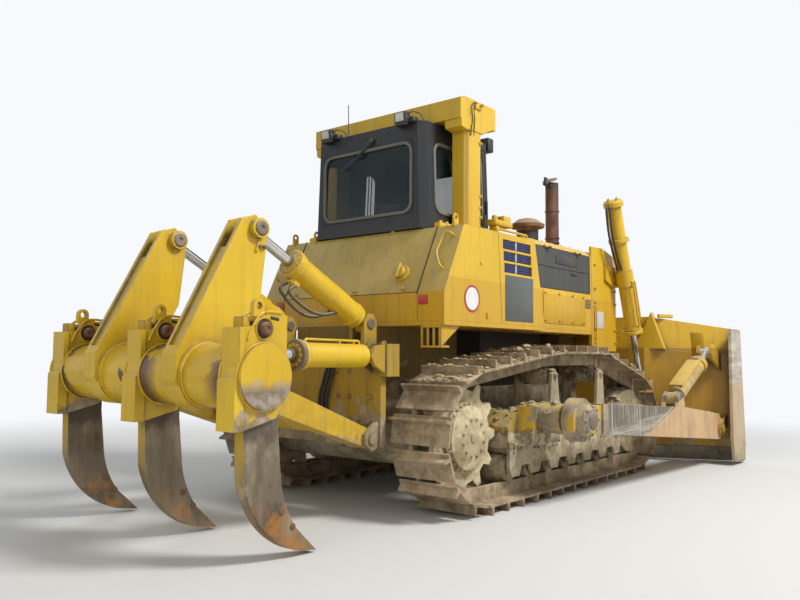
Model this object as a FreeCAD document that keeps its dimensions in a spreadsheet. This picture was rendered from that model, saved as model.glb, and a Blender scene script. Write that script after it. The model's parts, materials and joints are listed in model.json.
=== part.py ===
import FreeCAD, Part
import math
import os
import Sketcher
from FreeCAD import Placement, Rotation, Vector

# A large crawler dozer with a semi-U blade and a three-shank parallelogram ripper.
# X runs forward, Y to the left, Z up, with the origin on the ground under the middle.
# Stations along X are measured from the sprocket axle, right-hand pieces are drawn at -Y
# and left-hand ones are their mirror images. All lengths are millimetres.

# Each row: name, value, what it is
SIZES = (
    ("sprocket_station", -1315, "sprocket axle, from the middle of the overall length"),
    ("track_gauge", 2260, "between the centre lines of the two tracks"),
    ("seat_gap", 0.3, "running gap left between pieces that bear on each other"),
    ("panel_gap", 6, "seam between neighbouring sheet panels"),
    # track
    ("shoe_width", 610, "width of a track shoe"),
    ("shoe_thickness", 20, "plate of a track shoe"),
    ("shoe_gap", 8, "gap between neighbouring shoe plates"),
    ("grouser_height", 70, "grouser above its plate"),
    ("grouser_base", 36, "grouser width at the plate"),
    ("grouser_crest", 18, "grouser width at the tip"),
    ("grouser_setback", 52, "grouser centre, from the rear end of its plate"),
    ("first_shoe", 40, "where the row of shoes starts along the loop"),
    ("link_top", 70, "pin centre to shoe seat"),
    ("rail_depth", 55, "pin centre to rail"),
    ("strand_offset", 110, "link strand centre, from the track centre line"),
    ("strand_width", 48, "width of a link strand"),
    ("sprocket_pin_radius", 503, "pin circle round the sprocket"),
    ("idler_pin_radius", 450, "pin circle round the idler"),
    ("idler_distance", 3450, "sprocket axle to idler axle"),
    ("carrier_rear", 1400, "station of the rear carrier roller"),
    ("carrier_front", 2480, "station of the front carrier roller"),
    ("carrier_height", 1185, "axle height of the carrier rollers"),
    ("carrier_radius", 82, "tread of a carrier roller"),
    ("carrier_clearance", 20, "carrier tread to the straight rail line"),
    # wheels
    ("sprocket_disc_radius", 422, "sprocket rim at the root of its teeth"),
    ("sprocket_tooth_radius", 520, "tooth tips of the sprocket"),
    ("sprocket_rim_width", 96, "rim of the sprocket"),
    ("hub_radius", 312, "final drive cover"),
    ("hub_dome_radius", 215, "raised middle of the final drive cover"),
    ("hub_face", 1290, "face of the final drive cover, from the middle plane"),
    ("drive_case_radius", 300, "final drive housing inside the sprocket"),
    ("drive_case_end", 1000, "outer end of the final drive housing"),
    ("idler_radius", 375, "tread of the idler"),
    ("idler_flange_radius", 402, "centre flange of the idler"),
    ("idler_half_width", 150, "half the tread width of idler and rollers"),
    ("flange_half_width", 72, "half the centre flange between the strands"),
    ("axle_half_width", 185, "half the axle length of idler and rollers"),
    ("roller_radius", 110, "tread of a bottom roller"),
    ("roller_flange_radius", 130, "flange of a bottom roller"),
    ("roller_first", 620, "station of the rearmost bottom roller"),
    ("roller_last", 2900, "station of the foremost bottom roller"),
    # track frame
    ("frame_rear", 560, "rear end of the track frame"),
    ("frame_front", 3030, "front end of the track frame box"),
    ("frame_bottom", 462, "underside of the track frame"),
    ("frame_top", 850, "top of the track frame"),
    ("frame_half_width", 170, "half the width of the track frame"),
    ("yoke_thickness", 32, "idler yoke plate"),
    ("pivot_station", 760, "pivot shaft of the track frames"),
    ("pivot_height", 680, "pivot shaft height"),
    ("pivot_radius", 95, "pivot shaft"),
    ("trunnion_station", 900, "push arm trunnion"),
    ("trunnion_height", 800, "push arm trunnion height"),
    ("trunnion_radius", 78, "push arm trunnion pin"),
    ("bar_station", 2650, "equalizer bar"),
    ("bar_height", 560, "equalizer bar centre height"),
    # hull
    ("case_rear", -520, "rear face of the steering case"),
    ("case_front", 1000, "front end of the steering case"),
    ("case_half_width", 410, "half the width of the steering case"),
    ("ground_clearance", 507, "ground to the belly"),
    ("deck_bottom", 1650, "underside of the deck plate"),
    ("deck_thickness", 40, "deck plate"),
    ("deck_half_width", 1165, "half the width of the deck at the cab"),
    ("rail_front", 3780, "front end of the main frame rails"),
    ("rail_inner", 300, "inner face of a main frame rail"),
    ("rail_bottom", 640, "underside of the main frame rails"),
    ("rail_top", 1040, "top of the main frame rails"),
    ("front_post_rear", 3300, "rear face of the guard support"),
    ("engine_rear", 1620, "rear end of the engine block"),
    ("engine_length", 1380, "length of the engine block"),
    ("engine_half_width", 299.7, "half the width of the engine block"),
    ("engine_top", 2250, "top of the engine block"),
    # rear body
    ("tank_rear", -275, "rear face of tank and side boxes"),
    ("tank_band_top", 1950, "top of the upright rear band"),
    ("slope_top", 30, "station where the sloped rear face ends"),
    ("body_top", 2580, "top of tank, boxes and side panels"),
    ("tank_half_width", 865, "half the width of the tank"),
    ("tank_front", 45, "front face of the tank"),
    ("box_inner", 756, "inner face of a side box beside the cab"),
    ("box_front_top", 610, "front edge of a side box at the top"),
    ("box_front_bottom", 680, "front edge of a side box at the deck"),
    ("panel_front_top", 1330, "front edge of a side panel at the top"),
    ("panel_front_bottom", 1540, "front edge of a side panel at the deck"),
    ("panel_inner", 800, "inner face of a side panel box"),
    ("louvre_rows", 3, "rows of louvres in a side panel"),
    # hood
    ("hood_rear", 1560, "rear end of the hood"),
    ("hood_front", 3085, "front end of the hood"),
    ("hood_half_width", 970, "half the width of the hood"),
    ("hood_top", 2680, "top of the hood"),
    ("hood_shoulder", 2606, "where the hood top starts to slope"),
    ("hood_shoulder_width", 880, "half the width of the flat hood top"),
    ("sheet", 30, "wall of hood, doors and panels"),
    ("door_sill", 2138, "lower edge of the engine doors"),
    ("pillar", 34, "pillar at each end of an engine door"),
    # radiator guard
    ("guard_front", 3800, "front face of the radiator guard"),
    ("guard_bottom", 1450, "lower edge of the radiator guard"),
    ("guard_wall", 45, "wall of the radiator guard"),
    ("grille_half_width", 720, "half the width of the grille opening"),
    ("grille_bottom", 1656, "lower edge of the grille opening"),
    ("grille_top", 2520, "upper edge of the grille opening"),
    ("grille_bar", 26, "thickness of a grille bar"),
    ("core_station", 3380, "rear face of the radiator core"),
    # cab
    ("cab_rear", 0, "rear wall of the cab"),
    ("cab_length", 1390, "length of the cab"),
    ("cab_step", 60, "how far the cab's foot stands ahead of its rear wall"),
    ("cab_half_width", 750, "half the width of the cab at its waist"),
    ("cab_roof_half_width", 712, "half the width of the cab roof"),
    ("cab_floor", 1690.3, "underside of the cab"),
    ("cab_waist", 2588, "where the cab steps back over the tank"),
    ("cab_roof", 3630, "top of the cab"),
    ("cab_corner", 70, "chamfer of the cab's rear corners"),
    ("cab_nose", 290, "chamfer of the cab's front corners"),
    ("cab_wall", 45, "wall of the cab"),
    ("glass", 8, "thickness of a window pane"),
    ("window_sill", 2740, "lower edge of the cab windows"),
    ("window_head", 3450, "upper edge of the cab windows"),
    ("rear_window_half_width", 590, "half the width of the rear window"),
    ("windshield_half_width", 390, "half the width of the front window"),
    ("door_rear", 690, "rear edge of a cab door"),
    ("door_front", 1075, "front edge of a cab door"),
    ("door_bottom", 2650, "lower edge of a cab door"),
    ("door_top", 3540, "upper edge of a cab door"),
    ("door_frame", 70, "frame of a cab door round its pane"),
    ("hinge_radius", 13, "knuckle of a door hinge"),
    ("hinge_length", 70, "one knuckle of a door hinge"),
    # rops
    ("rops_post_rear", 390, "rear face of a protection post"),
    ("rops_post_length", 250, "depth of a protection post"),
    ("rops_post_inner", 780, "inner face of a protection post"),
    ("rops_half_width", 975, "half the width of the protection frame"),
    ("rops_post_round", 62, "rounding of a post's outer corners"),
    ("rops_beam_rear", 250, "rear face of the cross beam"),
    ("rops_beam_front", 870, "front face of the cross beam"),
    ("rops_beam_bottom", 3660, "underside of the cross beam"),
    ("rops_top", 3885, "top of the cross beam"),
    # stacks
    ("exhaust_station", 2955, "exhaust stack"),
    ("exhaust_side", -510, "exhaust stack, from the middle plane"),
    ("exhaust_radius", 82, "exhaust stack pipe"),
    ("exhaust_top", 3560, "top of the exhaust stack"),
    ("cleaner_station", 2350, "air pre-cleaner"),
    ("cleaner_side", -500, "air pre-cleaner, from the middle plane"),
    ("cleaner_radius", 205, "cap of the air pre-cleaner"),
    ("cleaner_top", 3030, "top of the air pre-cleaner"),
    # blade
    ("blade_half_width", 2150, "half the width of the blade"),
    ("blade_centre", 1100, "half the width of its straight middle"),
    ("wing_advance", 450, "how far each wing comes forward"),
    ("wing_drop", 180, "how much lower a wing ends than the middle"),
    ("blade_top", 1930, "top of the blade"),
    ("blade_back", 4570, "back of the mouldboard at its top"),
    ("mouldboard", 40, "thickness of the mouldboard at its top"),
    ("beam_back", 4400, "rear face of the blade's box beam"),
    ("beam_top", 1510, "top of the blade's box beam"),
    ("beam_bottom", 500, "lower edge of the rear face"),
    ("blade_lip", 4700, "front of the mouldboard at its foot"),
    ("lip_height", 200, "foot of the mouldboard"),
    ("face_radius", 3300, "hollow of the blade's face"),
    ("edge_thickness", 40, "cutting edge"),
    ("edge_reach", 120, "how far the cutting edge reaches forward"),
    ("blade_clearance", 15, "cutting edge above the ground"),
    ("end_plate", 36, "end plate of a wing"),
    ("end_plate_rear", 4660, "rear edge of an end plate"),
    # push arms
    ("arm_inset", 390, "inner face of a push arm, from the end of the blade"),
    ("arm_width", 240, "width of a push arm"),
    ("arm_rear", 1110, "where the push arm box starts"),
    ("arm_front", 4660, "front end of a push arm"),
    ("arm_pin_station", 4590, "pin between push arm and blade"),
    ("arm_pin_height", 480, "height of that pin"),
    ("arm_pin_radius", 50, "that pin"),
    ("ear", 38, "thickness of a bracket ear"),
    ("ear_gap", 0.3, "side clearance between an eye and its ears"),
    # cylinders of the blade
    ("lift_side", 1120, "blade lift cylinders, from the middle plane"),
    ("lift_yoke_station", 3745, "trunnion of a blade lift cylinder"),
    ("lift_yoke_height", 2385, "height of that trunnion"),
    ("cheek_rise", 361, "how far the guard's cheeks stand above that trunnion"),
    ("lift_eye_station", 4262, "rod eye of a blade lift cylinder"),
    ("lift_eye_height", 950, "height of that rod eye"),
    ("lift_bore_radius", 92, "barrel of a blade lift cylinder"),
    ("lift_rod_radius", 42, "rod of a blade lift cylinder"),
    ("lift_above", 940, "barrel above its trunnion"),
    ("lift_cap_radius", 124, "cast cap at the top of a blade lift cylinder"),
    ("lift_cap_height", 78, "height of that cap"),
    ("lift_below", 720, "barrel below its trunnion"),
    ("trunnion_stub", 42, "trunnion stub of a blade lift cylinder"),
    ("brace_low_station", 3290, "lower pin of a brace cylinder"),
    ("brace_low_height", 900, "height of that lower pin"),
    ("brace_high_station", 4500, "upper pin of a brace cylinder"),
    ("brace_high_height", 1440, "height of that upper pin"),
    ("brace_radius", 95, "barrel of a brace cylinder"),
    ("brace_rod_radius", 55, "rod of a brace cylinder"),
    ("brace_barrel_length", 1000, "lower pin to gland of a brace cylinder"),
    ("brace_eye", 78, "eyes of a brace cylinder"),
    # ripper
    ("tool_beam_station", -2335, "axis of the ripper beam"),
    ("tool_beam_height", 1235, "height of that axis"),
    ("tool_beam_radius", 220, "ripper beam tube"),
    ("tool_beam_proud", 37, "beam tube past its outer pockets"),
    ("pocket_spacing", 1110, "between neighbouring shank pockets"),
    ("pocket_width", 158, "width of a pocket"),
    ("pocket_plate", 34, "side plate of a pocket"),
    ("pocket_rear", -2510, "rear edge of the pocket plates"),
    ("pocket_front", -2132, "front edge of the pocket plates"),
    ("pocket_top", 1650, "top of the pocket plates"),
    ("pocket_bottom", 890, "foot of the pocket plates"),
    ("pocket_step", 92, "how much lower a pocket's rear ends than its top"),
    ("eye_station", -2380, "lifting eye of a pocket"),
    ("eye_height", 1702, "height of that lifting eye"),
    ("eye_bore", 24, "bore of a lifting eye"),
    ("eye_rim", 24, "metal round the bore of a lifting eye"),
    ("shank_gap", 5, "shank to the front and rear of its pocket"),
    ("shank_rear", -2485, "rear edge of a shank at the pocket"),
    ("shank_front", -2168, "front edge of a shank at the pocket"),
    ("shank_top", 1600, "top of a shank"),
    ("tip_station", -1790, "point of a shank"),
    ("tip_clearance", 18, "point of a shank above the ground"),
    ("tower_side", 515, "tower centre, from the middle plane"),
    ("tower_width", 160, "width of a tower"),
    ("tower_web_depth", 26, "how deep the strip between a tower's plates lies"),
    ("tower_pin_station", -1905, "pin at the top of a tower"),
    ("tower_pin_height", 2335, "height of that pin"),
    ("tower_pin_radius", 55, "that pin"),
    ("tower_eye_radius", 105, "tower round its pin"),
    ("collar_radius", 246, "collar of a tower round the beam"),
    # ripper support, arms and cylinders
    ("support_rear", -690, "rear face of the ripper support"),
    ("support_half_width", 868, "half the width of the ripper support"),
    ("support_foot_width", 800, "half its width beside the tracks"),
    ("support_shelf", 1200, "where the support widens above the tracks"),
    ("support_top", 1600, "top of the ripper support"),
    ("support_bottom", 600, "foot of the ripper support"),
    ("foot_station", -770, "front pin of the ripper arm"),
    ("foot_height", 680, "height of that front pin"),
    ("heel_station", -2020, "rear pin of the ripper arm"),
    ("heel_height", 1120, "height of that rear pin"),
    ("arm_pin", 46, "pins of the ripper arm"),
    ("arm_eye", 74, "eyes of the ripper arm"),
    ("arm_side_inner", 560, "inner face of a ripper arm side"),
    ("arm_side_outer", 740, "outer face of a ripper arm side"),
    ("ram_side", 760, "ripper lift cylinders, from the middle plane"),
    ("ram_base_station", -800, "base pin of a ripper lift cylinder"),
    ("ram_base_height", 1375, "height of that base pin"),
    ("ram_eye_station", -1940, "rod eye of a ripper lift cylinder"),
    ("ram_eye_height", 1385, "height of that rod eye"),
    ("ram_radius", 98, "barrel of a ripper lift cylinder"),
    ("ram_rod_radius", 48, "rod of a ripper lift cylinder"),
    ("ram_barrel_length", 870, "base pin to gland of a ripper lift cylinder"),
    ("ram_eye", 60, "eyes of a ripper lift cylinder"),
    ("tilt_base_station", -600, "base pin of a ripper tilt cylinder"),
    ("tilt_base_height", 1660, "height of that base pin"),
    ("tilt_radius", 104, "barrel of a ripper tilt cylinder"),
    ("tilt_rod_radius", 44, "rod of a ripper tilt cylinder"),
    ("tilt_barrel_length", 1010, "base pin to gland of a ripper tilt cylinder"),
    ("tilt_eye", 78, "eyes of a ripper tilt cylinder"),
)

doc = FreeCAD.newDocument("Dozer")
sheet = doc.addObject("Spreadsheet::Sheet", "Dims")


class Size:
    """A length together with the formula that ties it to the sheet."""

    def __init__(self, value, formula):
        self.value = float(value)
        self.formula = formula

    def __add__(self, other):
        other = size(other)
        return Size(self.value + other.value, f"({self.formula} + {other.formula})")

    def __sub__(self, other):
        other = size(other)
        return Size(self.value - other.value, f"({self.formula} - {other.formula})")

    def __mul__(self, other):
        other = size(other)
        return Size(self.value * other.value, f"({self.formula} * {other.formula})")

    def __truediv__(self, other):
        other = size(other)
        return Size(self.value / other.value, f"({self.formula} / {other.formula})")

    def __neg__(self):
        return Size(-self.value, f"(0 - {self.formula})")

    def __radd__(self, other):
        return size(other) + self

    def __rsub__(self, other):
        return size(other) - self

    def __rmul__(self, other):
        return size(other) * self

    def __float__(self):
        return self.value


def size(number):
    """A plain number as a Size, and a Size as it is."""
    if isinstance(number, Size):
        return number
    return Size(number, f"{float(number):.6f}")


class Dims:
    """The named sizes as attributes."""


d = Dims()
for row, (name, value, note) in enumerate(SIZES, start=1):
    sheet.set(f"A{row}", name)
    sheet.set(f"B{row}", str(value))
    sheet.set(f"C{row}", note)
    sheet.setAlias(f"B{row}", name)
    setattr(d, name, Size(value, f"Dims.{name}"))
doc.recompute()


def at(station):
    """The X of a station that is measured from the sprocket axle."""
    return d.sprocket_station + station


# Building blocks

def bind(feature, path, number):
    """Ties one property of a feature to the sheet."""
    number = size(number)
    feature.setExpression(path, number.formula)


def box(label, low, high):
    """A block between two corners, each given as three sizes."""
    block = doc.addObject("Part::Box", label)
    for prop, a, b in zip(("Length", "Width", "Height"), low, high):
        bind(block, prop, size(b) - a)
    for axis, a in zip("xyz", low):
        bind(block, f"Placement.Base.{axis}", a)
    return block


TURN_TO_Y = Rotation(Vector(1, 0, 0), -90)


def rod_along_y(label, radius, x, z, y_low, y_high):
    """A round bar across the machine."""
    bar = doc.addObject("Part::Cylinder", label)
    bar.Placement = Placement(Vector(0, 0, 0), TURN_TO_Y)
    bind(bar, "Radius", radius)
    bind(bar, "Height", size(y_high) - y_low)
    for axis, a in zip("xyz", (x, y_low, z)):
        bind(bar, f"Placement.Base.{axis}", a)
    return bar


def draw(sketch, outline):
    """Draws a closed outline of (u, v) corners. A corner (u, v, radius, turn) is reached
    by an arc, which turns left for 1 and right for -1."""
    corners = [(size(c[0]), size(c[1])) for c in outline]
    edges = []
    for i, (u, v) in enumerate(corners):
        following = (i + 1) % len(corners)
        start = Vector(u.value, v.value, 0)
        end = Vector(corners[following][0].value, corners[following][1].value, 0)
        if len(outline[following]) == 4:
            radius, turn = size(outline[following][2]), outline[following][3]
            chord = end - start
            left = Vector(-chord.y, chord.x, 0).normalize()
            rise = math.sqrt(max(radius.value ** 2 - (chord.Length / 2) ** 2, 0.0))
            middle = (start + end) * 0.5 + left * (rise * turn)
            first, last = (start, end) if turn > 0 else (end, start)
            angles = [math.atan2(p.y - middle.y, p.x - middle.x) for p in (first, last)]
            if angles[1] < angles[0]:
                angles[1] += 2 * math.pi
            circle = Part.Circle(middle, Vector(0, 0, 1), radius.value)
            edge = sketch.addGeometry(Part.ArcOfCircle(circle, angles[0], angles[1]), False)
            ends = (1, 2) if turn > 0 else (2, 1)
            held = sketch.addConstraint(Sketcher.Constraint("Radius", edge, radius.value))
            bind(sketch, f"Constraints[{held}]", radius)
        else:
            edge = sketch.addGeometry(Part.LineSegment(start, end), False)
            ends = (1, 2)
        edges.append((edge, ends))
    for i, (edge, ends) in enumerate(edges):
        after, after_ends = edges[(i + 1) % len(edges)]
        sketch.addConstraint(
            Sketcher.Constraint("Coincident", edge, ends[1], after, after_ends[0]))
        for kind, number in zip(("DistanceX", "DistanceY"), corners[i]):
            held = sketch.addConstraint(
                Sketcher.Constraint(kind, -1, 1, edge, ends[0], number.value))
            bind(sketch, f"Constraints[{held}]", number)


def body_sketch(body, label, plane, outline):
    """A sketch of an outline on one of the body's origin planes."""
    sketch = body.newObject("Sketcher::SketchObject", label + "_outline")
    support = [f for f in body.Origin.OriginFeatures if f.Role == plane][0]
    sketch.AttachmentSupport = [(support, "")]
    sketch.MapMode = "FlatFace"
    draw(sketch, outline)
    return sketch


def prism(label, plane, outline, low, high):
    """A plate or beam: an outline in one plane, as thick as from low to high across it."""
    body = doc.addObject("PartDesign::Body", label)
    sketch = body_sketch(body, label, plane + "_Plane", outline)
    pad = body.newObject("PartDesign::Pad", label + "_pad")
    pad.Profile = sketch
    pad.SideType = "Symmetric"
    bind(pad, "Length", size(high) - low)
    across = {"XZ": "y", "XY": "z", "YZ": "x"}[plane]
    bind(body, f"Placement.Base.{across}", (size(low) + high) / 2)
    sketch.Visibility = False
    return body


def turned(label, profile, place):
    """A turned piece: a profile of (radius, along) corners, turned about local Z."""
    body = doc.addObject("PartDesign::Body", label)
    sketch = body_sketch(body, label, "XZ_Plane", profile)
    spin = body.newObject("PartDesign::Revolution", label + "_turn")
    spin.Profile = sketch
    spin.ReferenceAxis = (sketch, ["V_Axis"])
    spin.Angle = 360
    body.Placement = place
    return body


def turned_across(label, profile, x, z, y):
    """A turned piece whose axis lies across the machine, pointing to the right."""
    body = turned(label, profile, Placement(Vector(0, 0, 0), Rotation(Vector(1, 0, 0), 90)))
    for axis, a in zip("xyz", (x, y, z)):
        bind(body, f"Placement.Base.{axis}", a)
    return body


def turned_upright(label, profile, x, y, z):
    """A turned piece whose axis stands upright."""
    body = turned(label, profile, Placement())
    for axis, a in zip("xyz", (x, y, z)):
        bind(body, f"Placement.Base.{axis}", a)
    return body


def fuse(label, *pieces):
    joined = doc.addObject("Part::MultiFuse", label)
    joined.Shapes = list(pieces)
    joined.Refine = True
    return joined


def cut(label, base, *tools):
    tool = tools[0] if len(tools) == 1 else fuse(label + "_tools", *tools)
    result = doc.addObject("Part::Cut", label)
    result.Base = base
    result.Tool = tool
    result.Refine = True
    return result


def group(label, *pieces):
    """Like pieces that don't touch, kept in one node."""
    kept = doc.addObject("Part::Compound", label)
    kept.Links = list(pieces)
    return kept


def mirror(label, piece):
    """The left-hand twin of a right-hand piece."""
    twin = doc.addObject("Part::Mirroring", label)
    twin.Source = piece
    twin.Normal = Vector(0, 1, 0)
    return twin


def pair(label, piece):
    """A right-hand piece and its left-hand twin as one node."""
    return group(label, piece, mirror(label + "_left", piece))


def shape_feature(label, shape):
    """A piece whose shape is worked out in this file."""
    feature = doc.addObject("Part::Feature", label)
    feature.Shape = shape
    return feature


nodes = []


def node(piece, name):
    """Marks a finished sub-part."""
    piece.Label = name
    nodes.append(piece)
    return piece


# The chain's line: round the sprocket and idler and over the two carrier rollers

GROUND_TO_PIN = d.link_top + d.shoe_thickness + d.grouser_height
SPROCKET_HEIGHT = GROUND_TO_PIN + d.sprocket_pin_radius
IDLER_HEIGHT = GROUND_TO_PIN + d.idler_pin_radius
TRACK_SIDE = d.track_gauge / 2
SHOES = 38


def chain_line():
    """The wheels that the pin line wraps, in order, as (x, z, radius)."""
    bend = float(d.carrier_radius + d.carrier_clearance + d.rail_depth)
    return (
        (0.0, float(SPROCKET_HEIGHT), float(d.sprocket_pin_radius)),
        (float(d.idler_distance), float(IDLER_HEIGHT), float(d.idler_pin_radius)),
        (float(d.carrier_front), float(d.carrier_height), bend),
        (float(d.carrier_rear), float(d.carrier_height), bend),
    )


def run_angle(one, other):
    """Direction of the straight run from one wheel to the next."""
    dx, dz = other[0] - one[0], other[1] - one[1]
    return math.atan2(dz, dx) + math.asin((one[2] - other[2]) / math.hypot(dx, dz))


def pin_places():
    """The pins of one chain, evenly spaced along its line, in the side view."""
    wheels = chain_line()
    count = len(wheels)
    runs = [run_angle(wheels[i], wheels[(i + 1) % count]) for i in range(count)]
    spans = []
    for i, (x, z, radius) in enumerate(wheels):
        following = wheels[(i + 1) % count]
        direction = runs[i]
        arrival = runs[i - 1]
        sweep = (direction - arrival) % (2 * math.pi)
        spans.append(("arc", radius * sweep, (x, z, radius, arrival)))
        start = (x + radius * math.sin(direction), z - radius * math.cos(direction))
        end = (following[0] + following[2] * math.sin(direction),
               following[1] - following[2] * math.cos(direction))
        spans.append(("run", math.hypot(end[0] - start[0], end[1] - start[1]),
                      (start, direction)))
    total = sum(span[1] for span in spans)
    pitch = total / SHOES
    # the row starts on the ground, just ahead of the sprocket
    offset = spans[0][1] + float(d.first_shoe)
    places = []
    for k in range(SHOES):
        left = (offset + k * pitch) % total
        for kind, length, data in spans:
            if left <= length:
                break
            left -= length
        if kind == "run":
            (x, z), direction = data
            places.append((x + left * math.cos(direction), z + left * math.sin(direction)))
        else:
            x, z, radius, arrival = data
            angle = arrival + left / radius
            places.append((x + radius * math.sin(angle), z - radius * math.cos(angle)))
    return places


def slab(corners, y_low, y_high):
    """A prism across the machine from corners in the side view."""
    shift = float(d.sprocket_station)
    points = [Vector(x + shift, y_low, z) for x, z in corners]
    points.append(points[0])
    face = Part.Face(Part.makePolygon(points))
    return face.extrude(Vector(0, y_high - y_low, 0))


def track_shape():
    """One right-hand track: two strands of links and a shoe on each link."""
    pins = pin_places()
    outer, inner, shoes = [], [], []
    side = -float(TRACK_SIDE)
    half_shoe = float(d.shoe_width) / 2
    seat = float(d.link_top)
    plate = seat + float(d.shoe_thickness)
    crest = plate + float(d.grouser_height)
    gap = float(d.shoe_gap) / 2
    grouser = float(d.grouser_setback)
    base, tip = float(d.grouser_base) / 2, float(d.grouser_crest) / 2
    sunk = 1.0
    for k, (x, z) in enumerate(pins):
        x2, z2 = pins[(k + 1) % len(pins)]
        length = math.hypot(x2 - x, z2 - z)
        tx, tz = (x2 - x) / length, (z2 - z) / length

        def spot(along, out):
            return (x + tx * along + tz * out, z + tz * along - tx * out)

        outer += [spot(0.16 * length, seat), spot(0.84 * length, seat)]
        inner += [spot(0.12 * length, -float(d.rail_depth)),
                  spot(0.88 * length, -float(d.rail_depth))]
        shoe = [spot(gap, seat - sunk), spot(length - gap, seat - sunk),
                spot(length - gap, plate), spot(grouser + base, plate),
                spot(grouser + tip, crest), spot(grouser - tip, crest),
                spot(grouser - base, plate), spot(gap, plate)]
        shoes.append(slab(shoe, side - half_shoe, side + half_shoe))
    strands = []
    for sign in (-1, 1):
        middle = side + sign * float(d.strand_offset)
        low, high = middle - float(d.strand_width) / 2, middle + float(d.strand_width) / 2
        strands.append(slab(outer, low, high).cut(slab(inner, low - 1, high + 1)))
    return strands[0].multiFuse(strands[1:] + shoes).Solids[0]


right_track = shape_feature("track_right", track_shape())
node(right_track, "track_right")
node(mirror("track_left", right_track), "track_left")


# Sprocket with its cover

def toothed_rim(label, teeth, low, high):
    """The sprocket's rim: one tooth between each two pins."""
    root, tip = float(d.sprocket_disc_radius), float(d.sprocket_tooth_radius)
    cx, cz = float(at(0)), float(SPROCKET_HEIGHT)
    step = 2 * math.pi / teeth
    corners = []
    for k in range(teeth):
        for part, radius in ((-0.30, root), (-0.11, tip), (0.11, tip), (0.30, root)):
            angle = (k + part) * step
            corners.append(Vector(cx + radius * math.cos(angle), low,
                                  cz + radius * math.sin(angle)))
    corners.append(corners[0])
    rim = Part.Face(Part.makePolygon(corners)).extrude(Vector(0, high - low, 0))
    return shape_feature(label, rim)


SPROCKET_TEETH = 12
rim_low = -float(TRACK_SIDE) - float(d.sprocket_rim_width) / 2
rim = toothed_rim("sprocket_rim", SPROCKET_TEETH, rim_low,
                  rim_low + float(d.sprocket_rim_width))
cover = turned_across("sprocket_cover", (
    (0, d.drive_case_end + d.seat_gap),
    (d.drive_case_radius, d.drive_case_end + d.seat_gap),
    (d.drive_case_radius, TRACK_SIDE),
    (d.hub_radius, TRACK_SIDE + 20),
    (d.hub_radius, d.hub_face - 75),
    (d.hub_radius - 26, d.hub_face - 75),
    (d.hub_radius - 30, d.hub_face - 40),
    (d.hub_dome_radius, d.hub_face - 12),
    (d.hub_dome_radius - 30, d.hub_face),
    (0, d.hub_face)), at(0), SPROCKET_HEIGHT, 0)
right_sprocket = node(fuse("sprocket_right", rim, cover), "sprocket_right")
node(mirror("sprocket_left", right_sprocket), "sprocket_left")


# Idlers, bottom rollers and carrier rollers

def wheel(label, x, z, tread, flange, axle):
    """A flanged wheel on its axle, on the right-hand track's centre line."""
    return turned_across(label, (
        (0, -d.axle_half_width),
        (axle, -d.axle_half_width),
        (axle, -d.idler_half_width),
        (tread, -d.idler_half_width),
        (tread, -d.flange_half_width),
        (flange, -d.flange_half_width),
        (flange, d.flange_half_width),
        (tread, d.flange_half_width),
        (tread, d.idler_half_width),
        (axle, d.idler_half_width),
        (axle, d.axle_half_width),
        (0, d.axle_half_width)), x, z, -TRACK_SIDE)


right_idler = node(wheel("idler_right", at(d.idler_distance), IDLER_HEIGHT,
                         d.idler_radius, d.idler_flange_radius, 70), "idler_right")
node(mirror("idler_left", right_idler), "idler_left")

ROLLERS = 7
roller_step = (d.roller_last - d.roller_first) / (ROLLERS - 1)
roller_height = GROUND_TO_PIN + d.rail_depth + d.roller_radius + d.seat_gap
rollers = []
for k in range(ROLLERS):
    rollers.append(wheel(f"roller_{k + 1}", at(d.roller_first + roller_step * k),
                         roller_height, d.roller_radius, d.roller_flange_radius, 48))
for k, station in enumerate((d.carrier_rear, d.carrier_front)):
    rollers.append(wheel(f"carrier_{k + 1}", at(station), d.carrier_height,
                         d.carrier_radius, d.carrier_radius + 12, 42))
right_rollers = node(group("rollers_right", *rollers), "rollers_right")
node(mirror("rollers_left", right_rollers), "rollers_left")


# Track frame with idler yokes, roller brackets and the push arm trunnion

frame_low = -TRACK_SIDE - d.frame_half_width
frame_high = -TRACK_SIDE + d.frame_half_width
frame_box = prism("frame_box", "XZ", (
    (at(d.frame_rear), d.frame_bottom + 60),
    (at(d.frame_rear + 80), d.frame_bottom),
    (at(d.frame_front), d.frame_bottom),
    (at(d.frame_front), d.frame_top - 90),
    (at(d.frame_front - 120), d.frame_top - 40),
    (at(d.frame_rear + 900), d.frame_top),
    (at(d.frame_rear + 120), d.frame_top),
    (at(d.frame_rear), d.frame_top - 130)), frame_low, frame_high)
frame_parts = [frame_box]
yoke_outline = (
    (at(d.frame_front - 470), d.frame_bottom + 60),
    (at(d.idler_distance), IDLER_HEIGHT - 95),
    (at(d.idler_distance + 90), IDLER_HEIGHT - 40),
    (at(d.idler_distance + 90), IDLER_HEIGHT + 40),
    (at(d.idler_distance), IDLER_HEIGHT + 95),
    (at(d.frame_front - 470), d.frame_top - 60))
yoke_start = d.axle_half_width + d.seat_gap
for sign in (-1, 1):
    near = -TRACK_SIDE + yoke_start * sign
    far = near + d.yoke_thickness * sign
    low, high = (far, near) if sign < 0 else (near, far)
    frame_parts.append(prism(f"yoke_{sign + 2}", "XZ", yoke_outline, low, high))
    spacer_low, spacer_high = (near, -TRACK_SIDE - d.frame_half_width + 5)
    if sign > 0:
        spacer_low, spacer_high = (-TRACK_SIDE + d.frame_half_width - 5, near)
    frame_parts.append(box(f"yoke_spacer_{sign + 2}",
                           (at(d.frame_front - 400), spacer_low, d.frame_bottom + 80),
                           (at(d.frame_front - 60), spacer_high, d.frame_top - 110)))
guard_low = roller_height - 60
guard_high = d.frame_bottom + 120
guard_outline = [(at(d.roller_last + 110), guard_high), (at(d.roller_first - 110), guard_high)]
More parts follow.
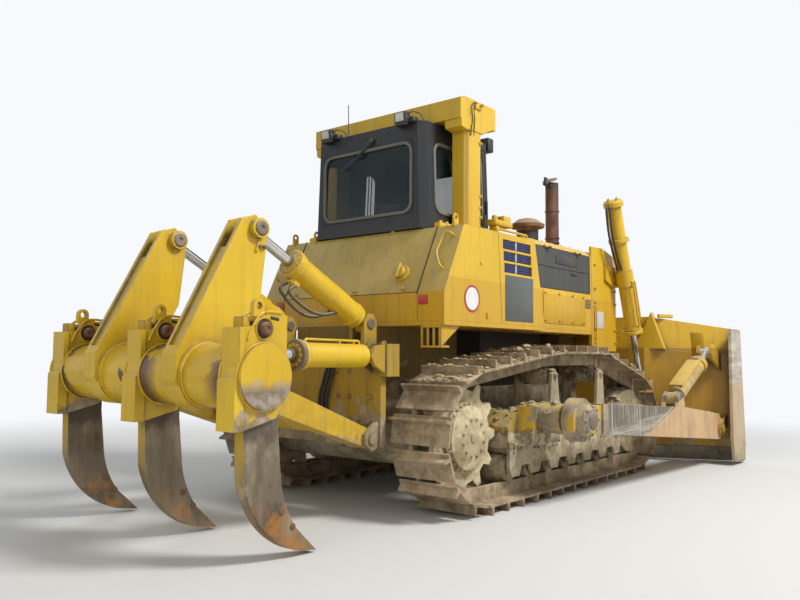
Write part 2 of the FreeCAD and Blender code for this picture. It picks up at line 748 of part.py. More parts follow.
for k in range(ROLLERS):
    # each tooth covers the end of one axle, and the gap beside it shows the rail
    middle = d.roller_first + roller_step * k
    guard_outline += [(at(middle - 110), guard_low + 90), (at(middle - 70), guard_low),
                      (at(middle + 70), guard_low), (at(middle + 110), guard_low + 90)]
for sign in (-1, 1):
    near = -TRACK_SIDE + yoke_start * sign
    far = near + d.yoke_thickness * sign
    low, high = (far, near) if sign < 0 else (near, far)
    frame_parts.append(prism(f"roller_guard_{sign + 2}", "XZ", guard_outline, low, high))
    inside, outside = (near, -TRACK_SIDE - d.frame_half_width + 5)
    if sign > 0:
        inside, outside = (-TRACK_SIDE + d.frame_half_width - 5, near)
    frame_parts.append(box(f"guard_spacer_{sign + 2}",
                           (at(d.roller_first), inside, d.frame_bottom + 10),
                           (at(d.roller_last), outside, d.frame_bottom + 110)))
for k, station in enumerate((d.carrier_rear, d.carrier_front)):
    for sign in (-1, 1):
        near = -TRACK_SIDE + yoke_start * sign
        far = near + d.yoke_thickness * sign
        low, high = (far, near) if sign < 0 else (near, far)
        frame_parts.append(prism(f"carrier_bracket_{k + 1}_{sign + 2}", "XZ", (
            (at(station - 130), d.frame_top - 170),
            (at(station + 130), d.frame_top - 170),
            (at(station + 60), d.carrier_height + 20),
            (at(station + 20), d.carrier_height + 55),
            (at(station - 20), d.carrier_height + 55),
            (at(station - 60), d.carrier_height + 20)), low, high))
        inside, outside = (near, -TRACK_SIDE - d.frame_half_width + 5)
        if sign > 0:
            inside, outside = (-TRACK_SIDE + d.frame_half_width - 5, near)
        frame_parts.append(box(f"carrier_spacer_{k + 1}_{sign + 2}",
                               (at(station - 90), inside, d.frame_top - 160),
                               (at(station + 90), outside, d.frame_top - 60)))
# the push arms follow the blade's ends, and the braces stand over the push arms
ARM_INNER = d.blade_half_width - d.arm_inset
ARM_OUTER = ARM_INNER + d.arm_width
BRACE_SIDE = (ARM_INNER + ARM_OUTER) / 2
trunnion_root = -TRACK_SIDE - d.frame_half_width + 10
frame_parts.append(rod_along_y("trunnion_boss", d.trunnion_radius + 62,
                               at(d.trunnion_station), d.trunnion_height,
                               -(ARM_INNER - 40), trunnion_root))
frame_parts.append(rod_along_y("trunnion_pin", d.trunnion_radius,
                               at(d.trunnion_station), d.trunnion_height,
                               -(ARM_OUTER - 30), trunnion_root))
frame_parts.append(prism("trunnion_web", "XZ", (
    (at(d.trunnion_station - 260), d.frame_bottom + 90),
    (at(d.trunnion_station + 320), d.frame_bottom + 90),
    (at(d.trunnion_station + 150), d.trunnion_height + 110),
    (at(d.trunnion_station - 150), d.trunnion_height + 110)),
    -(ARM_INNER - 260), trunnion_root))
right_frame = node(fuse("track_frame_right", *frame_parts), "track_frame_right")
node(mirror("track_frame_left", right_frame), "track_frame_left")


# Hull: steering case, rails, pivot shaft, final drive housings and guard support

case = prism("case", "XZ", (
    (at(d.case_rear), d.ground_clearance + 290),
    (at(d.case_rear + 150), d.ground_clearance + 20),
    (at(d.case_rear + 260), d.ground_clearance),
    (at(d.case_front), d.ground_clearance),
    (at(d.case_front), d.deck_bottom),
    (at(d.case_rear), d.deck_bottom)), -d.case_half_width, d.case_half_width)
hull_parts = [case]
for sign in (-1, 1):
    low, high = (d.rail_inner, d.case_half_width)
    if sign < 0:
        low, high = (-high, -low)
    hull_parts.append(box(f"rail_{sign + 2}", (at(d.case_front - 50), low, d.rail_bottom),
                          (at(d.rail_front), high, d.rail_top)))
hull_parts.append(box("front_post",
                      (at(d.front_post_rear), -d.case_half_width, d.rail_bottom - 60),
                      (at(d.rail_front), d.case_half_width, d.deck_bottom)))
hull_parts.append(box("belly_plate",
                      (at(d.case_front - 60), -d.case_half_width, d.ground_clearance),
                      (at(d.front_post_rear + 60), d.case_half_width,
                       d.ground_clearance + 25)))
hull_parts.append(box("belly_rib",
                      (at(d.front_post_rear), -d.case_half_width, d.ground_clearance),
                      (at(d.front_post_rear + 60), d.case_half_width, d.rail_bottom)))
hull_parts.append(rod_along_y("pivot_shaft", d.pivot_radius, at(d.pivot_station),
                              d.pivot_height, frame_high + d.seat_gap,
                              -(frame_high + d.seat_gap)))
hull_parts.append(rod_along_y("drive_housings", d.drive_case_radius, at(0),
                              SPROCKET_HEIGHT, -d.drive_case_end, d.drive_case_end))
node(fuse("main_frame", *hull_parts), "main_frame")

bar_end = TRACK_SIDE - yoke_start - d.yoke_thickness - d.seat_gap
node(prism("equalizer_bar", "YZ", (
    (-bar_end, d.bar_height + 20),
    (-bar_end, d.bar_height + 150),
    (-560, d.bar_height + 60),
    (560, d.bar_height + 60),
    (bar_end, d.bar_height + 150),
    (bar_end, d.bar_height + 20),
    (440, d.bar_height - 18),
    (-440, d.bar_height - 18)), at(d.bar_station - 90), at(d.bar_station + 90)),
    "equalizer_bar")

node(box("engine_block",
         (at(d.engine_rear), -d.engine_half_width, d.rail_bottom + 200),
         (at(d.engine_rear + d.engine_length), d.engine_half_width, d.engine_top)),
     "engine_block")

deck_top = d.deck_bottom + d.deck_thickness
engine_bay = d.case_half_width + 60
node(prism("deck", "XY", (
    (at(d.tank_rear), -d.deck_half_width),
    (at(d.panel_front_bottom), -d.deck_half_width),
    (at(d.hood_rear + 60), -d.hood_half_width),
    (at(d.hood_front), -d.hood_half_width),
    (at(d.hood_front), -engine_bay),
    (at(d.case_front), -engine_bay),
    (at(d.case_front), engine_bay),
    (at(d.hood_front), engine_bay),
    (at(d.hood_front), d.hood_half_width),
    (at(d.hood_rear + 60), d.hood_half_width),
    (at(d.panel_front_bottom), d.deck_half_width),
    (at(d.tank_rear), d.deck_half_width)), d.deck_bottom, deck_top), "deck")


# Rear body: tank, side boxes and louvred side panels

node(prism("fuel_tank", "XZ", (
    (at(d.tank_rear), deck_top),
    (at(d.tank_front), deck_top),
    (at(d.tank_front), d.body_top),
    (at(d.slope_top), d.body_top),
    (at(d.tank_rear), d.tank_band_top)), -d.tank_half_width, d.tank_half_width),
    "fuel_tank")

box_outer = prism("box_outer", "XZ", (
    (at(d.tank_rear), deck_top),
    (at(d.box_front_bottom), deck_top),
    (at(d.box_front_top), d.body_top),
    (at(d.slope_top), d.body_top),
    (at(d.tank_rear), d.tank_band_top)),
    -d.deck_half_width, -(d.tank_half_width + d.panel_gap))
box_inner = prism("box_inner", "XZ", (
    (at(d.tank_front + d.panel_gap), deck_top),
    (at(d.box_front_bottom), deck_top),
    (at(d.box_front_top), d.body_top),
    (at(d.tank_front + d.panel_gap), d.body_top)),
    -(d.tank_half_width + d.panel_gap), -d.box_inner)
node(pair("side_boxes", fuse("side_box", box_outer, box_inner)), "side_boxes")

panel = prism("panel_box", "XZ", (
    (at(d.box_front_bottom + d.panel_gap), deck_top),
    (at(d.panel_front_bottom), deck_top),
    (at(d.panel_front_top), d.body_top),
    (at(d.box_front_top + d.panel_gap), d.body_top)), -d.deck_half_width, -d.panel_inner)
louvre_height = 92
louvres = []
for k in range(int(d.louvre_rows.value)):
    top = d.body_top - 60 - 115 * k
    lean = 14 * k
    louvres.append(box(f"louvre_{k + 1}",
                       (at(d.box_front_top + 90 + lean), -d.deck_half_width - 1,
                        top - louvre_height),
                       (at(d.panel_front_top - 90 + lean), -d.deck_half_width + 26, top)))
node(pair("side_panels", cut("side_panel", panel, *louvres)), "side_panels")


# Hood with its lower panels, engine doors and radiator guard

def roof_section(inset, low):
    """Half-hexagon cross section of the hood, this far inside its outer faces."""
    return ((-(d.hood_half_width - inset), low),
            (-(d.hood_half_width - inset), d.hood_shoulder - inset / 3),
            (-(d.hood_shoulder_width - inset / 3), d.hood_top - inset),
            (d.hood_shoulder_width - inset / 3, d.hood_top - inset),
            (d.hood_half_width - inset, d.hood_shoulder - inset / 3),
            (d.hood_half_width - inset, low))


hood_shell = cut(
    "hood_shell",
    prism("hood_outer", "YZ", roof_section(size(0), deck_top),
          at(d.hood_rear), at(d.hood_front)),
    prism("hood_inner", "YZ", roof_section(d.sheet, deck_top - 10),
          at(d.hood_rear + d.sheet), at(d.hood_front + 10)))
door_windows = []
for sign in (-1, 1):
    low, high = (d.hood_half_width - d.sheet - 5, d.hood_half_width + 5)
    if sign < 0:
        low, high = (-high, -low)
    door_windows.append(box(f"door_window_{sign + 2}",
                            (at(d.hood_rear + d.pillar), low, d.door_sill),
                            (at(d.hood_front - d.pillar), high, d.hood_shoulder)))
hood_open = cut("hood_open", hood_shell, *door_windows)

# each engine door hangs from two hinges along the shoulder of the hood
door_leaf = box("engine_door_leaf",
                (at(d.hood_rear + d.pillar + d.panel_gap),
                 -d.hood_half_width, d.door_sill + d.panel_gap),
                (at(d.hood_front - d.pillar - d.panel_gap),
                 -(d.hood_half_width - d.sheet), d.hood_shoulder - d.panel_gap))
hinge_side = d.hood_half_width + d.hinge_radius + 1
hinge_height = d.hood_shoulder
fixed_knuckles, leaf_knuckles = [], []
for k, station in enumerate((d.hood_rear + 320, d.hood_front - 320 - d.hinge_length * 2)):
    for name, start, kept, low, high in (
            ("fixed", station, fixed_knuckles, hinge_height - 2, hinge_height + 10),
            ("leaf", station + d.hinge_length + d.seat_gap, leaf_knuckles,
             hinge_height - 50, hinge_height - 8)):
        turn = doc.addObject("Part::Cylinder", f"{name}_knuckle_{k + 1}")
        turn.Placement = Placement(Vector(0, 0, 0), Rotation(Vector(0, 1, 0), 90))
        bind(turn, "Radius", d.hinge_radius)
        bind(turn, "Height", d.hinge_length)
        for axis, a in zip("xyz", (at(start), -hinge_side, hinge_height)):
            bind(turn, f"Placement.Base.{axis}", a)
        strap = box(f"{name}_strap_{k + 1}",
                    (at(start + 5), -(d.hood_half_width + 8), low),
                    (at(start + d.hinge_length - 5), -(d.hood_half_width - 20), high))
        kept += [turn, strap]
node(fuse("hood", hood_open, *fixed_knuckles,
          *[mirror(f"fixed_left_{k}", piece)
            for k, piece in enumerate(fixed_knuckles)]), "hood")
right_engine_door = node(fuse("engine_door_right", door_leaf, *leaf_knuckles),
                         "engine_door_right")
node(mirror("engine_door_left", right_engine_door), "engine_door_left")

guard_rear = d.hood_front + d.panel_gap
guard_shell = cut(
    "guard_shell",
    prism("guard_outer", "YZ", roof_section(size(0), d.guard_bottom),
          at(guard_rear), at(d.guard_front)),
    prism("guard_inner", "YZ", roof_section(d.guard_wall, d.guard_bottom - 10),
          at(guard_rear - 10), at(d.guard_front - d.guard_wall)))
grille_hole = box("grille_hole",
                  (at(d.guard_front - d.guard_wall - 5), -d.grille_half_width,
                   d.grille_bottom),
                  (at(d.guard_front + 5), d.grille_half_width, d.grille_top))
core_gap = d.case_half_width + 6
post_notch = box("post_notch",
                 (at(d.guard_front - d.guard_wall - 5), -core_gap, d.guard_bottom - 5),
                 (at(d.rail_front + 6), core_gap, d.deck_bottom + 6))
boss_face = d.lift_side - d.lift_bore_radius - 20 - d.seat_gap
yoke_boss = rod_along_y("yoke_boss", 88, at(d.lift_yoke_station), d.lift_yoke_height,
                        -boss_face, -(d.hood_half_width - d.guard_wall))
yoke_bore = rod_along_y("yoke_bore", d.trunnion_stub + d.seat_gap,
                        at(d.lift_yoke_station), d.lift_yoke_height,
                        -(boss_face + 10), -d.hood_half_width)
cheek_top = d.lift_yoke_height + d.cheek_rise
cheek = prism("guard_cheek", "XZ", (
    (at(guard_rear), d.hood_shoulder - 160),
    (at(d.guard_front - 20), d.hood_shoulder - 160),
    (at(d.guard_front - 20), cheek_top - 86),
    (at(guard_rear + 320), cheek_top),
    (at(guard_rear), cheek_top - 10)), -d.hood_half_width, -(d.hood_half_width - 30))
yoke_arm = prism("yoke_arm", "XZ", (
    (at(d.lift_yoke_station - 300), d.lift_yoke_height - 40),
    (at(d.lift_yoke_station - 60), d.lift_yoke_height - 120),
    (at(d.lift_yoke_station + 40), d.lift_yoke_height - 110),
    (at(d.lift_yoke_station + 40), d.lift_yoke_height + 110),
    (at(d.lift_yoke_station - 60), d.lift_yoke_height + 120),
    (at(d.lift_yoke_station - 300), d.lift_yoke_height + 170)),
    -(d.hood_half_width + 32), -(d.hood_half_width - 20))
guard = fuse("guard_with_bosses", cut("guard_cut", guard_shell, grille_hole, post_notch),
             yoke_boss, mirror("yoke_boss_left", yoke_boss), cheek,
             mirror("guard_cheek_left", cheek), yoke_arm, mirror("yoke_arm_left", yoke_arm))
node(cut("guard_bored", guard, yoke_bore, mirror("yoke_bore_left", yoke_bore)),
     "radiator_guard")

bars = []
GRILLE_BARS = 9
bar_pitch = (d.grille_top - d.grille_bottom) / GRILLE_BARS
for k in range(GRILLE_BARS):
    height = d.grille_bottom + bar_pitch * (k + 0.5)
    bars.append(box(f"bar_{k + 1}",
                    (at(d.guard_front - d.guard_wall), -d.grille_half_width,
                     height - d.grille_bar / 2),
                    (at(d.guard_front - 8), d.grille_half_width,
                     height + d.grille_bar / 2)))
for k in (-1, 0, 1):
    place = d.grille_half_width * k * 0.62
    bars.append(box(f"upright_{k + 2}",
                    (at(d.guard_front - d.guard_wall), place - 18, d.grille_bottom),
                    (at(d.guard_front - 20), place + 18, d.grille_top)))
node(fuse("radiator_grille", *bars), "radiator_grille")
node(box("radiator_core",
         (at(d.core_station), -(d.hood_half_width - 120), d.deck_bottom + d.seat_gap),
         (at(d.core_station + 120), d.hood_half_width - 120, d.hood_top - 110)),
     "radiator_core")


# Stacks on the hood

node(turned_upright("exhaust_stack", (
    (0, d.hood_top),
    (d.exhaust_radius + 40, d.hood_top),
    (d.exhaust_radius + 40, d.hood_top + 18),
    (d.exhaust_radius, d.hood_top + 18),
    (d.exhaust_radius, d.exhaust_top),
    (d.exhaust_radius - 8, d.exhaust_top),
    (d.exhaust_radius - 8, d.hood_top + 60),
    (0, d.hood_top + 60)), at(d.exhaust_station), d.exhaust_side, 0), "exhaust_stack")

node(turned_upright("pre_cleaner", (
    (0, d.hood_top),
    (d.cleaner_radius - 75, d.hood_top),
    (d.cleaner_radius - 75, d.cleaner_top - 125),
    (d.cleaner_radius - 8, d.cleaner_top - 115),
    (d.cleaner_radius, d.cleaner_top - 80),
    (d.cleaner_radius - 90, d.cleaner_top - 18),
    (45, d.cleaner_top),
    (0, d.cleaner_top)), at(d.cleaner_station), d.cleaner_side, 0), "pre_cleaner")


# Cab: a hollow shell with windows and two side doors

cab_front = d.cab_rear + d.cab_length


def cab_plan(half_width, inset, step):
    """Plan of the cab with cut corners, this far inside its outer faces."""
    rear, front = at(d.cab_rear + inset + step), at(cab_front - inset)
    half = half_width - inset
    corner, nose = d.cab_corner - inset * 0.6, d.cab_nose - inset * 0.6
    return ((rear, half - corner), (rear, corner - half), (rear + corner, -half),
            (front - nose, -half), (front, nose - half), (front, half - nose),
            (front - nose, half), (rear + corner, half))


def plan_sketch(label, outline, height):
    """A level outline at one height."""
    sketch = doc.addObject("Sketcher::SketchObject", label)
    draw(sketch, outline)
    bind(sketch, "Placement.Base.z", height)
    return sketch


def cab_solid(label, inset, low, high):
    """The cab's outside, or its inside where inset is its wall."""
    step = d.cab_waist + inset
    tub = prism(label + "_tub", "XY", cab_plan(d.cab_half_width, inset, d.cab_step), low,
                step)
    upper = doc.addObject("Part::Loft", label + "_upper")
    upper.Sections = [
        plan_sketch(label + "_waist", cab_plan(d.cab_half_width, inset, size(0)), step),
        plan_sketch(label + "_roof", cab_plan(d.cab_roof_half_width, inset, size(0)), high)]
    upper.Solid = True
    upper.Ruled = True
    return fuse(label, tub, upper)


cab_outer = cab_solid("cab_outside", size(0), d.cab_floor, d.cab_roof)
cab_inner = cab_solid("cab_inside", d.cab_wall, d.cab_floor + d.cab_wall,
                      d.cab_roof - d.cab_wall)
reach = d.cab_half_width + 40
cab_holes = [
    box("rear_window_hole", (at(d.cab_rear - 30), -d.rear_window_half_width, d.window_sill),
        (at(d.cab_rear + d.cab_wall + 40), d.rear_window_half_width, d.window_head)),
    box("front_window_hole", (at(cab_front - d.cab_wall - 40), -d.windshield_half_width,
                              d.window_sill - 60),
        (at(cab_front + 30), d.windshield_half_width, d.window_head)),
    box("quarter_window_hole", (at(d.cab_rear + 150), -reach, d.window_sill),
        (at(d.door_rear - 110), reach, d.window_head)),
    box("door_hole", (at(d.door_rear), -reach, d.door_bottom),
        (at(d.door_front), reach, d.door_top)),
]
cab_open = cut("cab_open", cab_outer, cab_inner, *cab_holes)

# the hinge line leans inward with the cab's side
lean = math.atan2(float(d.cab_half_width - d.cab_roof_half_width),
                  float(d.cab_roof - d.cab_waist))


def cab_side_at(height):
    """Half the width of the cab at a height above its waist."""
    share = (height - d.cab_waist) / (d.cab_roof - d.cab_waist)
    return d.cab_half_width - (d.cab_half_width - d.cab_roof_half_width) * share


def knuckle(label, height):
    """One knuckle on the right-hand hinge line, with the strap that holds it."""
    pin = doc.addObject("Part::Cylinder", label + "_pin")
    bind(pin, "Radius", d.hinge_radius)
    bind(pin, "Height", d.hinge_length)
    side = cab_side_at(height) + d.hinge_radius + 2
    pin.Placement = Placement(Vector(0, 0, 0),
                              Rotation(Vector(1, 0, 0), -math.degrees(lean)))
    for axis, a in zip("xyz", (at(d.door_rear), -side, height)):
        bind(pin, f"Placement.Base.{axis}", a)
    return pin


shell_hinges, door_hinges = [], []
for k, height in enumerate((d.door_bottom + 120, d.door_top - 280)):
    low = knuckle(f"shell_knuckle_{k + 1}", height)
    high = knuckle(f"door_knuckle_{k + 1}", height + d.hinge_length + d.seat_gap)
    shell_strap = box(f"shell_strap_{k + 1}",
                      (at(d.door_rear - 60), -(cab_side_at(height) + 12), height + 10),
                      (at(d.door_rear), -(cab_side_at(height) - 15),
                       height + d.hinge_length - 10))
    door_strap = box(f"door_strap_{k + 1}",
                     (at(d.door_rear), -(cab_side_at(height) + 9),
                      height + d.hinge_length + 10),
                     (at(d.door_rear + 60), -(cab_side_at(height) - 18),
                      height + d.hinge_length * 2 - 10))
    shell_hinges += [low, shell_strap]
    door_hinges += [high, door_strap]
pedestal = box("seat_pedestal",
               (at(d.cab_rear + 480), -230, d.cab_floor + 10),
               (at(d.cab_rear + 860), 230, d.cab_floor + 420))
console = prism("dash", "XZ", (
    (at(cab_front - 420), d.cab_floor + 10),
    (at(cab_front - 60), d.cab_floor + 10),
    (at(cab_front - 60), d.cab_waist + 90),
    (at(cab_front - 240), d.cab_waist + 140),
    (at(cab_front - 330), d.cab_waist + 30)), -300, 300)
node(fuse("cab_shell", cab_open, pedestal, console, *shell_hinges,
          *[mirror(f"shell_hinge_left_{k}", piece)
            for k, piece in enumerate(shell_hinges)]), "cab_shell")

right_door_solid = box("door_block",
                       (at(d.door_rear + d.panel_gap), -reach, d.door_bottom + d.panel_gap),
                       (at(d.door_front - d.panel_gap), -300, d.door_top - d.panel_gap))
cab_skin = cut("cab_skin", cab_outer, cab_inner)
door_common = doc.addObject("Part::MultiCommon", "door_panel")
door_common.Shapes = [cab_skin, right_door_solid]
door_pane_hole = box("door_pane_hole",
                     (at(d.door_rear + d.door_frame), -reach, d.window_sill + 40),
                     (at(d.door_front - d.door_frame), -300, d.door_top - d.door_frame))
right_cab_door = node(fuse("cab_door_right",
                           cut("door_leaf", door_common, door_pane_hole),
                           *door_hinges), "cab_door_right")
node(mirror("cab_door_left", right_cab_door), "cab_door_left")

pane_in = d.cab_wall - d.glass
panes = [
    box("rear_pane", (at(d.cab_rear + 12), -d.rear_window_half_width, d.window_sill),
        (at(d.cab_rear + 12) + d.glass, d.rear_window_half_width, d.window_head)),
    box("front_pane", (at(cab_front - 20), -d.windshield_half_width, d.window_sill - 60),
        (at(cab_front - 20) + d.glass, d.windshield_half_width, d.window_head)),
]
node(group("cab_glass", *panes), "cab_glass")

node(prism("seat", "XZ", (
    (at(d.cab_rear + 440), d.cab_floor + 420 + d.seat_gap),
    (at(d.cab_rear + 930), d.cab_floor + 420 + d.seat_gap),
    (at(d.cab_rear + 930), d.cab_floor + 560),
    (at(d.cab_rear + 560), d.cab_floor + 580),
    (at(d.cab_rear + 470), d.cab_floor + 1240),
    (at(d.cab_rear + 330), d.cab_floor + 1240),
    (at(d.cab_rear + 400), d.cab_floor + 560)), -260, 260), "seat")


# Roll-over frame: two posts and a cross beam over the cab

post_front = d.rops_post_rear + d.rops_post_length
right_post = prism("rops_post", "XY", (
    (at(d.rops_post_rear), -d.rops_post_inner),
    (at(d.rops_post_rear), -(d.rops_half_width - d.rops_post_round)),
    (at(d.rops_post_rear + d.rops_post_round * 0.3),
     -(d.rops_half_width - d.rops_post_round * 0.3)),
    (at(d.rops_post_rear + d.rops_post_round), -d.rops_half_width),
    (at(post_front - d.rops_post_round), -d.rops_half_width),
    (at(post_front - d.rops_post_round * 0.3),
     -(d.rops_half_width - d.rops_post_round * 0.3)),
    (at(post_front), -(d.rops_half_width - d.rops_post_round)),
    (at(post_front), -d.rops_post_inner)), d.body_top, d.rops_beam_bottom + 20)
knee = prism("rops_knee", "XZ", (
    (at(d.rops_beam_rear + 10), d.rops_beam_bottom + 20),
    (at(d.rops_beam_rear + 20), d.rops_beam_bottom - 80),
    (at(d.rops_post_rear), d.rops_beam_bottom - 95),
    (at(post_front), d.rops_beam_bottom - 80),
    (at(d.rops_beam_front - 10), d.rops_beam_bottom + 20)),
    -d.rops_half_width, -d.rops_post_inner)
foot = box("rops_foot",
           (at(d.rops_post_rear - 60), -(d.rops_half_width + 40), d.body_top),
           (at(post_front + 60), -d.rops_post_inner,
            d.body_top + 30))
beam = prism("rops_beam", "XZ", (
    (at(d.rops_beam_rear), d.rops_beam_bottom),
    (at(d.rops_beam_front), d.rops_beam_bottom),
    (at(d.rops_beam_front), d.rops_top),
    (at(d.rops_beam_rear + 60), d.rops_top),
    (at(d.rops_beam_rear), d.rops_top - 25)), -d.rops_half_width, d.rops_half_width)
node(fuse("roll_over_frame", beam, right_post, knee, foot,
          mirror("rops_post_left", right_post), mirror("rops_knee_left", knee),
          mirror("rops_foot_left", foot)), "roll_over_frame")


# Rear lamps on the cab roof

lamp_parts = []
for sign in (-1, 1):
    lamp_parts.append(prism(f"rear_lamp_{sign + 2}", "XZ", (
        (at(d.cab_rear) - d.seat_gap, d.cab_roof - 40),
        (at(d.cab_rear) - d.seat_gap, d.cab_roof + 60),
        (at(d.cab_rear - 30), d.cab_roof + 95),
        (at(d.cab_rear - 95), d.cab_roof + 80),
        (at(d.cab_rear - 80), d.cab_roof - 40)),
        size(497 * sign - 64), size(497 * sign + 64)))
node(group("rear_lamps", *lamp_parts), "rear_lamps")


# Blade: curved section, straight in the middle and swept forward in the wings

def blade_section(shift, drop, grow=0):
    """Section of the blade, moved forward by shift and lowered by drop at its top."""
    top = d.blade_top - drop
    shelf = d.beam_top - drop * 0.6
    return (
        (at(d.beam_back + shift), d.beam_bottom),
        (at(d.blade_lip - 130 + shift), d.lip_height + 20),
        (at(d.blade_lip + shift), d.lip_height),
        (at(d.blade_back + d.mouldboard + shift), top, d.face_radius, -1),
        (at(d.blade_back + shift), top),
        (at(d.blade_back - 60 + shift), shelf),
        (at(d.beam_back + shift), shelf))


def edge_section(shift):
    """Section of the cutting edge under the mouldboard."""
    low = d.blade_clearance
    return (
        (at(d.blade_lip + d.edge_reach + shift), low),
        (at(d.blade_lip + 8 + shift), d.lip_height + 90),
        (at(d.blade_lip - 18 + shift), d.lip_height + 84),
        (at(d.blade_lip + d.seat_gap + shift), d.lip_height - d.seat_gap),
        (at(d.blade_lip - 30 + shift), d.lip_height - d.seat_gap),
        (at(d.blade_lip + d.edge_reach - d.edge_thickness * 1.6 + shift), low))


def side_sketch(label, outline, y):
    """An outline in a side view plane at one place across the machine."""
    sketch = doc.addObject("Sketcher::SketchObject", label)
    draw(sketch, outline)
    sketch.Placement = Placement(Vector(0, 0, 0), Rotation(Vector(1, 0, 0), 90))
    bind(sketch, "Placement.Base.y", y)
    return sketch


def swept(label, sections):
    """A straight-sided solid through side view outlines at places across the machine."""
    loft = doc.addObject("Part::Loft", label)
    loft.Sections = [side_sketch(f"{label}_{k}", outline, y)
                     for k, (outline, y) in enumerate(sections)]
    loft.Solid = True
    loft.Ruled = True
    return loft


wing_end = d.blade_half_width - d.end_plate
middle = swept("blade_middle", ((blade_section(size(0), size(0)), -d.blade_centre),
                                (blade_section(size(0), size(0)), d.blade_centre)))
wing = swept("blade_wing", ((blade_section(d.wing_advance, d.wing_drop), -wing_end),
                            (blade_section(size(0), size(0)), -d.blade_centre)))
end_plate = prism("end_plate", "XZ", (
    (at(d.end_plate_rear), d.blade_clearance + 300),
    (at(d.end_plate_rear + 60), d.blade_clearance + 60),
    (at(d.blade_lip + d.wing_advance + 20), d.blade_clearance + 20),
    (at(d.blade_lip + d.wing_advance + 50), d.lip_height + 40),
    (at(d.blade_back + d.wing_advance + 50), d.blade_top - d.wing_drop),
    (at(d.end_plate_rear), d.blade_top - d.wing_drop)), -d.blade_half_width, -wing_end + 2)

def beam_back_at(side):
    """Station of the blade's rear face this far from the middle plane."""
    return d.beam_back + d.wing_advance * (side - d.blade_centre) / (wing_end - d.blade_centre)


def blade_ear(label, outline, near, root_low, root_high):
    """A plate that stands on the blade's rear face, outline given pin side first."""
    root = beam_back_at(near + d.ear / 2) + 55
    corners = [(at(root), root_low)] + [(at(u), v) for u, v in outline]
    corners.append((at(root), root_high))
    return prism(label, "XZ", corners[::-1], -(near + d.ear), -near)


eye_low = ARM_INNER - d.ear_gap
eye_high = ARM_OUTER + d.ear_gap
arm_ear_outline = (
    (d.arm_pin_station + 30, d.arm_pin_height - 85),
    (d.arm_pin_station - 60, d.arm_pin_height - 60),
    (d.arm_pin_station - 80, d.arm_pin_height),
    (d.arm_pin_station - 60, d.arm_pin_height + 60),
    (d.arm_pin_station + 30, d.arm_pin_height + 95))
blade_parts = []
for name, near in (("inner", eye_low - d.ear), ("outer", eye_high)):
    blade_parts.append(blade_ear(f"arm_ear_{name}", arm_ear_outline, near,
                                 d.beam_bottom + 20, d.arm_pin_height + 200))
gusset_lean = prism("gusset_lean", "XZ", (
    (at(d.beam_back + 25), d.beam_top - 20),
    (at(d.beam_back + 105), d.beam_top - 20),
    (at(d.blade_back + 22), d.blade_top + 55),
    (at(d.blade_back - 75), d.blade_top + 55)), -(d.blade_centre + 300), -(d.blade_centre - 160))
gusset_face = prism("gusset_face", "YZ", (
    (-(d.blade_centre + 265), d.beam_top - 20),
    (-(d.blade_centre - 150), d.beam_top - 20),
    (-(d.blade_centre + 64), d.blade_top + 55)), at(d.beam_back - 20), at(d.blade_back + 60))
gusset = doc.addObject("Part::MultiCommon", "wing_gusset")
gusset.Shapes = [gusset_lean, gusset_face]
blade_parts.append(gusset)
blade_parts.append(rod_along_y("arm_pin_bar", d.arm_pin_radius, at(d.arm_pin_station),
                               d.arm_pin_height, -(eye_high + d.ear + 20),
                               -(eye_low - d.ear - 12)))
brace_half = d.brace_eye * 0.75
brace_ear_outline = (
    (d.brace_high_station + 60, d.brace_high_height - 120),
    (d.brace_high_station - 40, d.brace_high_height - 85),
    (d.brace_high_station - 95, d.brace_high_height),
    (d.brace_high_station - 60, d.brace_high_height + 90),
    (d.brace_high_station + 40, d.brace_high_height + 110))
lift_half = size(52)
lift_ear_outline = (
    (d.lift_eye_station + 20, d.lift_eye_height - 85),
    (d.lift_eye_station - 60, d.lift_eye_height - 60),
    (d.lift_eye_station - 80, d.lift_eye_height),
    (d.lift_eye_station - 60, d.lift_eye_height + 60),
    (d.lift_eye_station + 20, d.lift_eye_height + 85))
for name, side, half, outline, low, high in (
        ("brace", BRACE_SIDE, brace_half, brace_ear_outline,
         d.brace_high_height - 260, d.brace_high_height - 40),
        ("lift", d.lift_side, lift_half, lift_ear_outline,
         d.lift_eye_height - 160, d.lift_eye_height + 160)):
    for place, near in (("inner", side - half - d.ear_gap - d.ear),
                        ("outer", side + half + d.ear_gap)):
        blade_parts.append(blade_ear(f"{name}_ear_{place}", outline, near, low, high))
left_parts = [mirror(f"blade_left_{k}", piece)
              for k, piece in enumerate([wing, end_plate] + blade_parts)]
node(fuse("blade", middle, wing, end_plate, *blade_parts, *left_parts), "blade")

edge_middle = swept("edge_middle", ((edge_section(size(0)), -d.blade_centre),
                                    (edge_section(size(0)), d.blade_centre)))
edge_end = wing_end - 2 - d.seat_gap
edge_wing = swept("edge_wing", ((edge_section(d.wing_advance), -edge_end),
                                (edge_section(size(0)), -d.blade_centre)))
node(fuse("cutting_edge", edge_middle, edge_wing, mirror("edge_wing_left", edge_wing)),
     "cutting_edge")


# Push arms from the trunnions to the blade

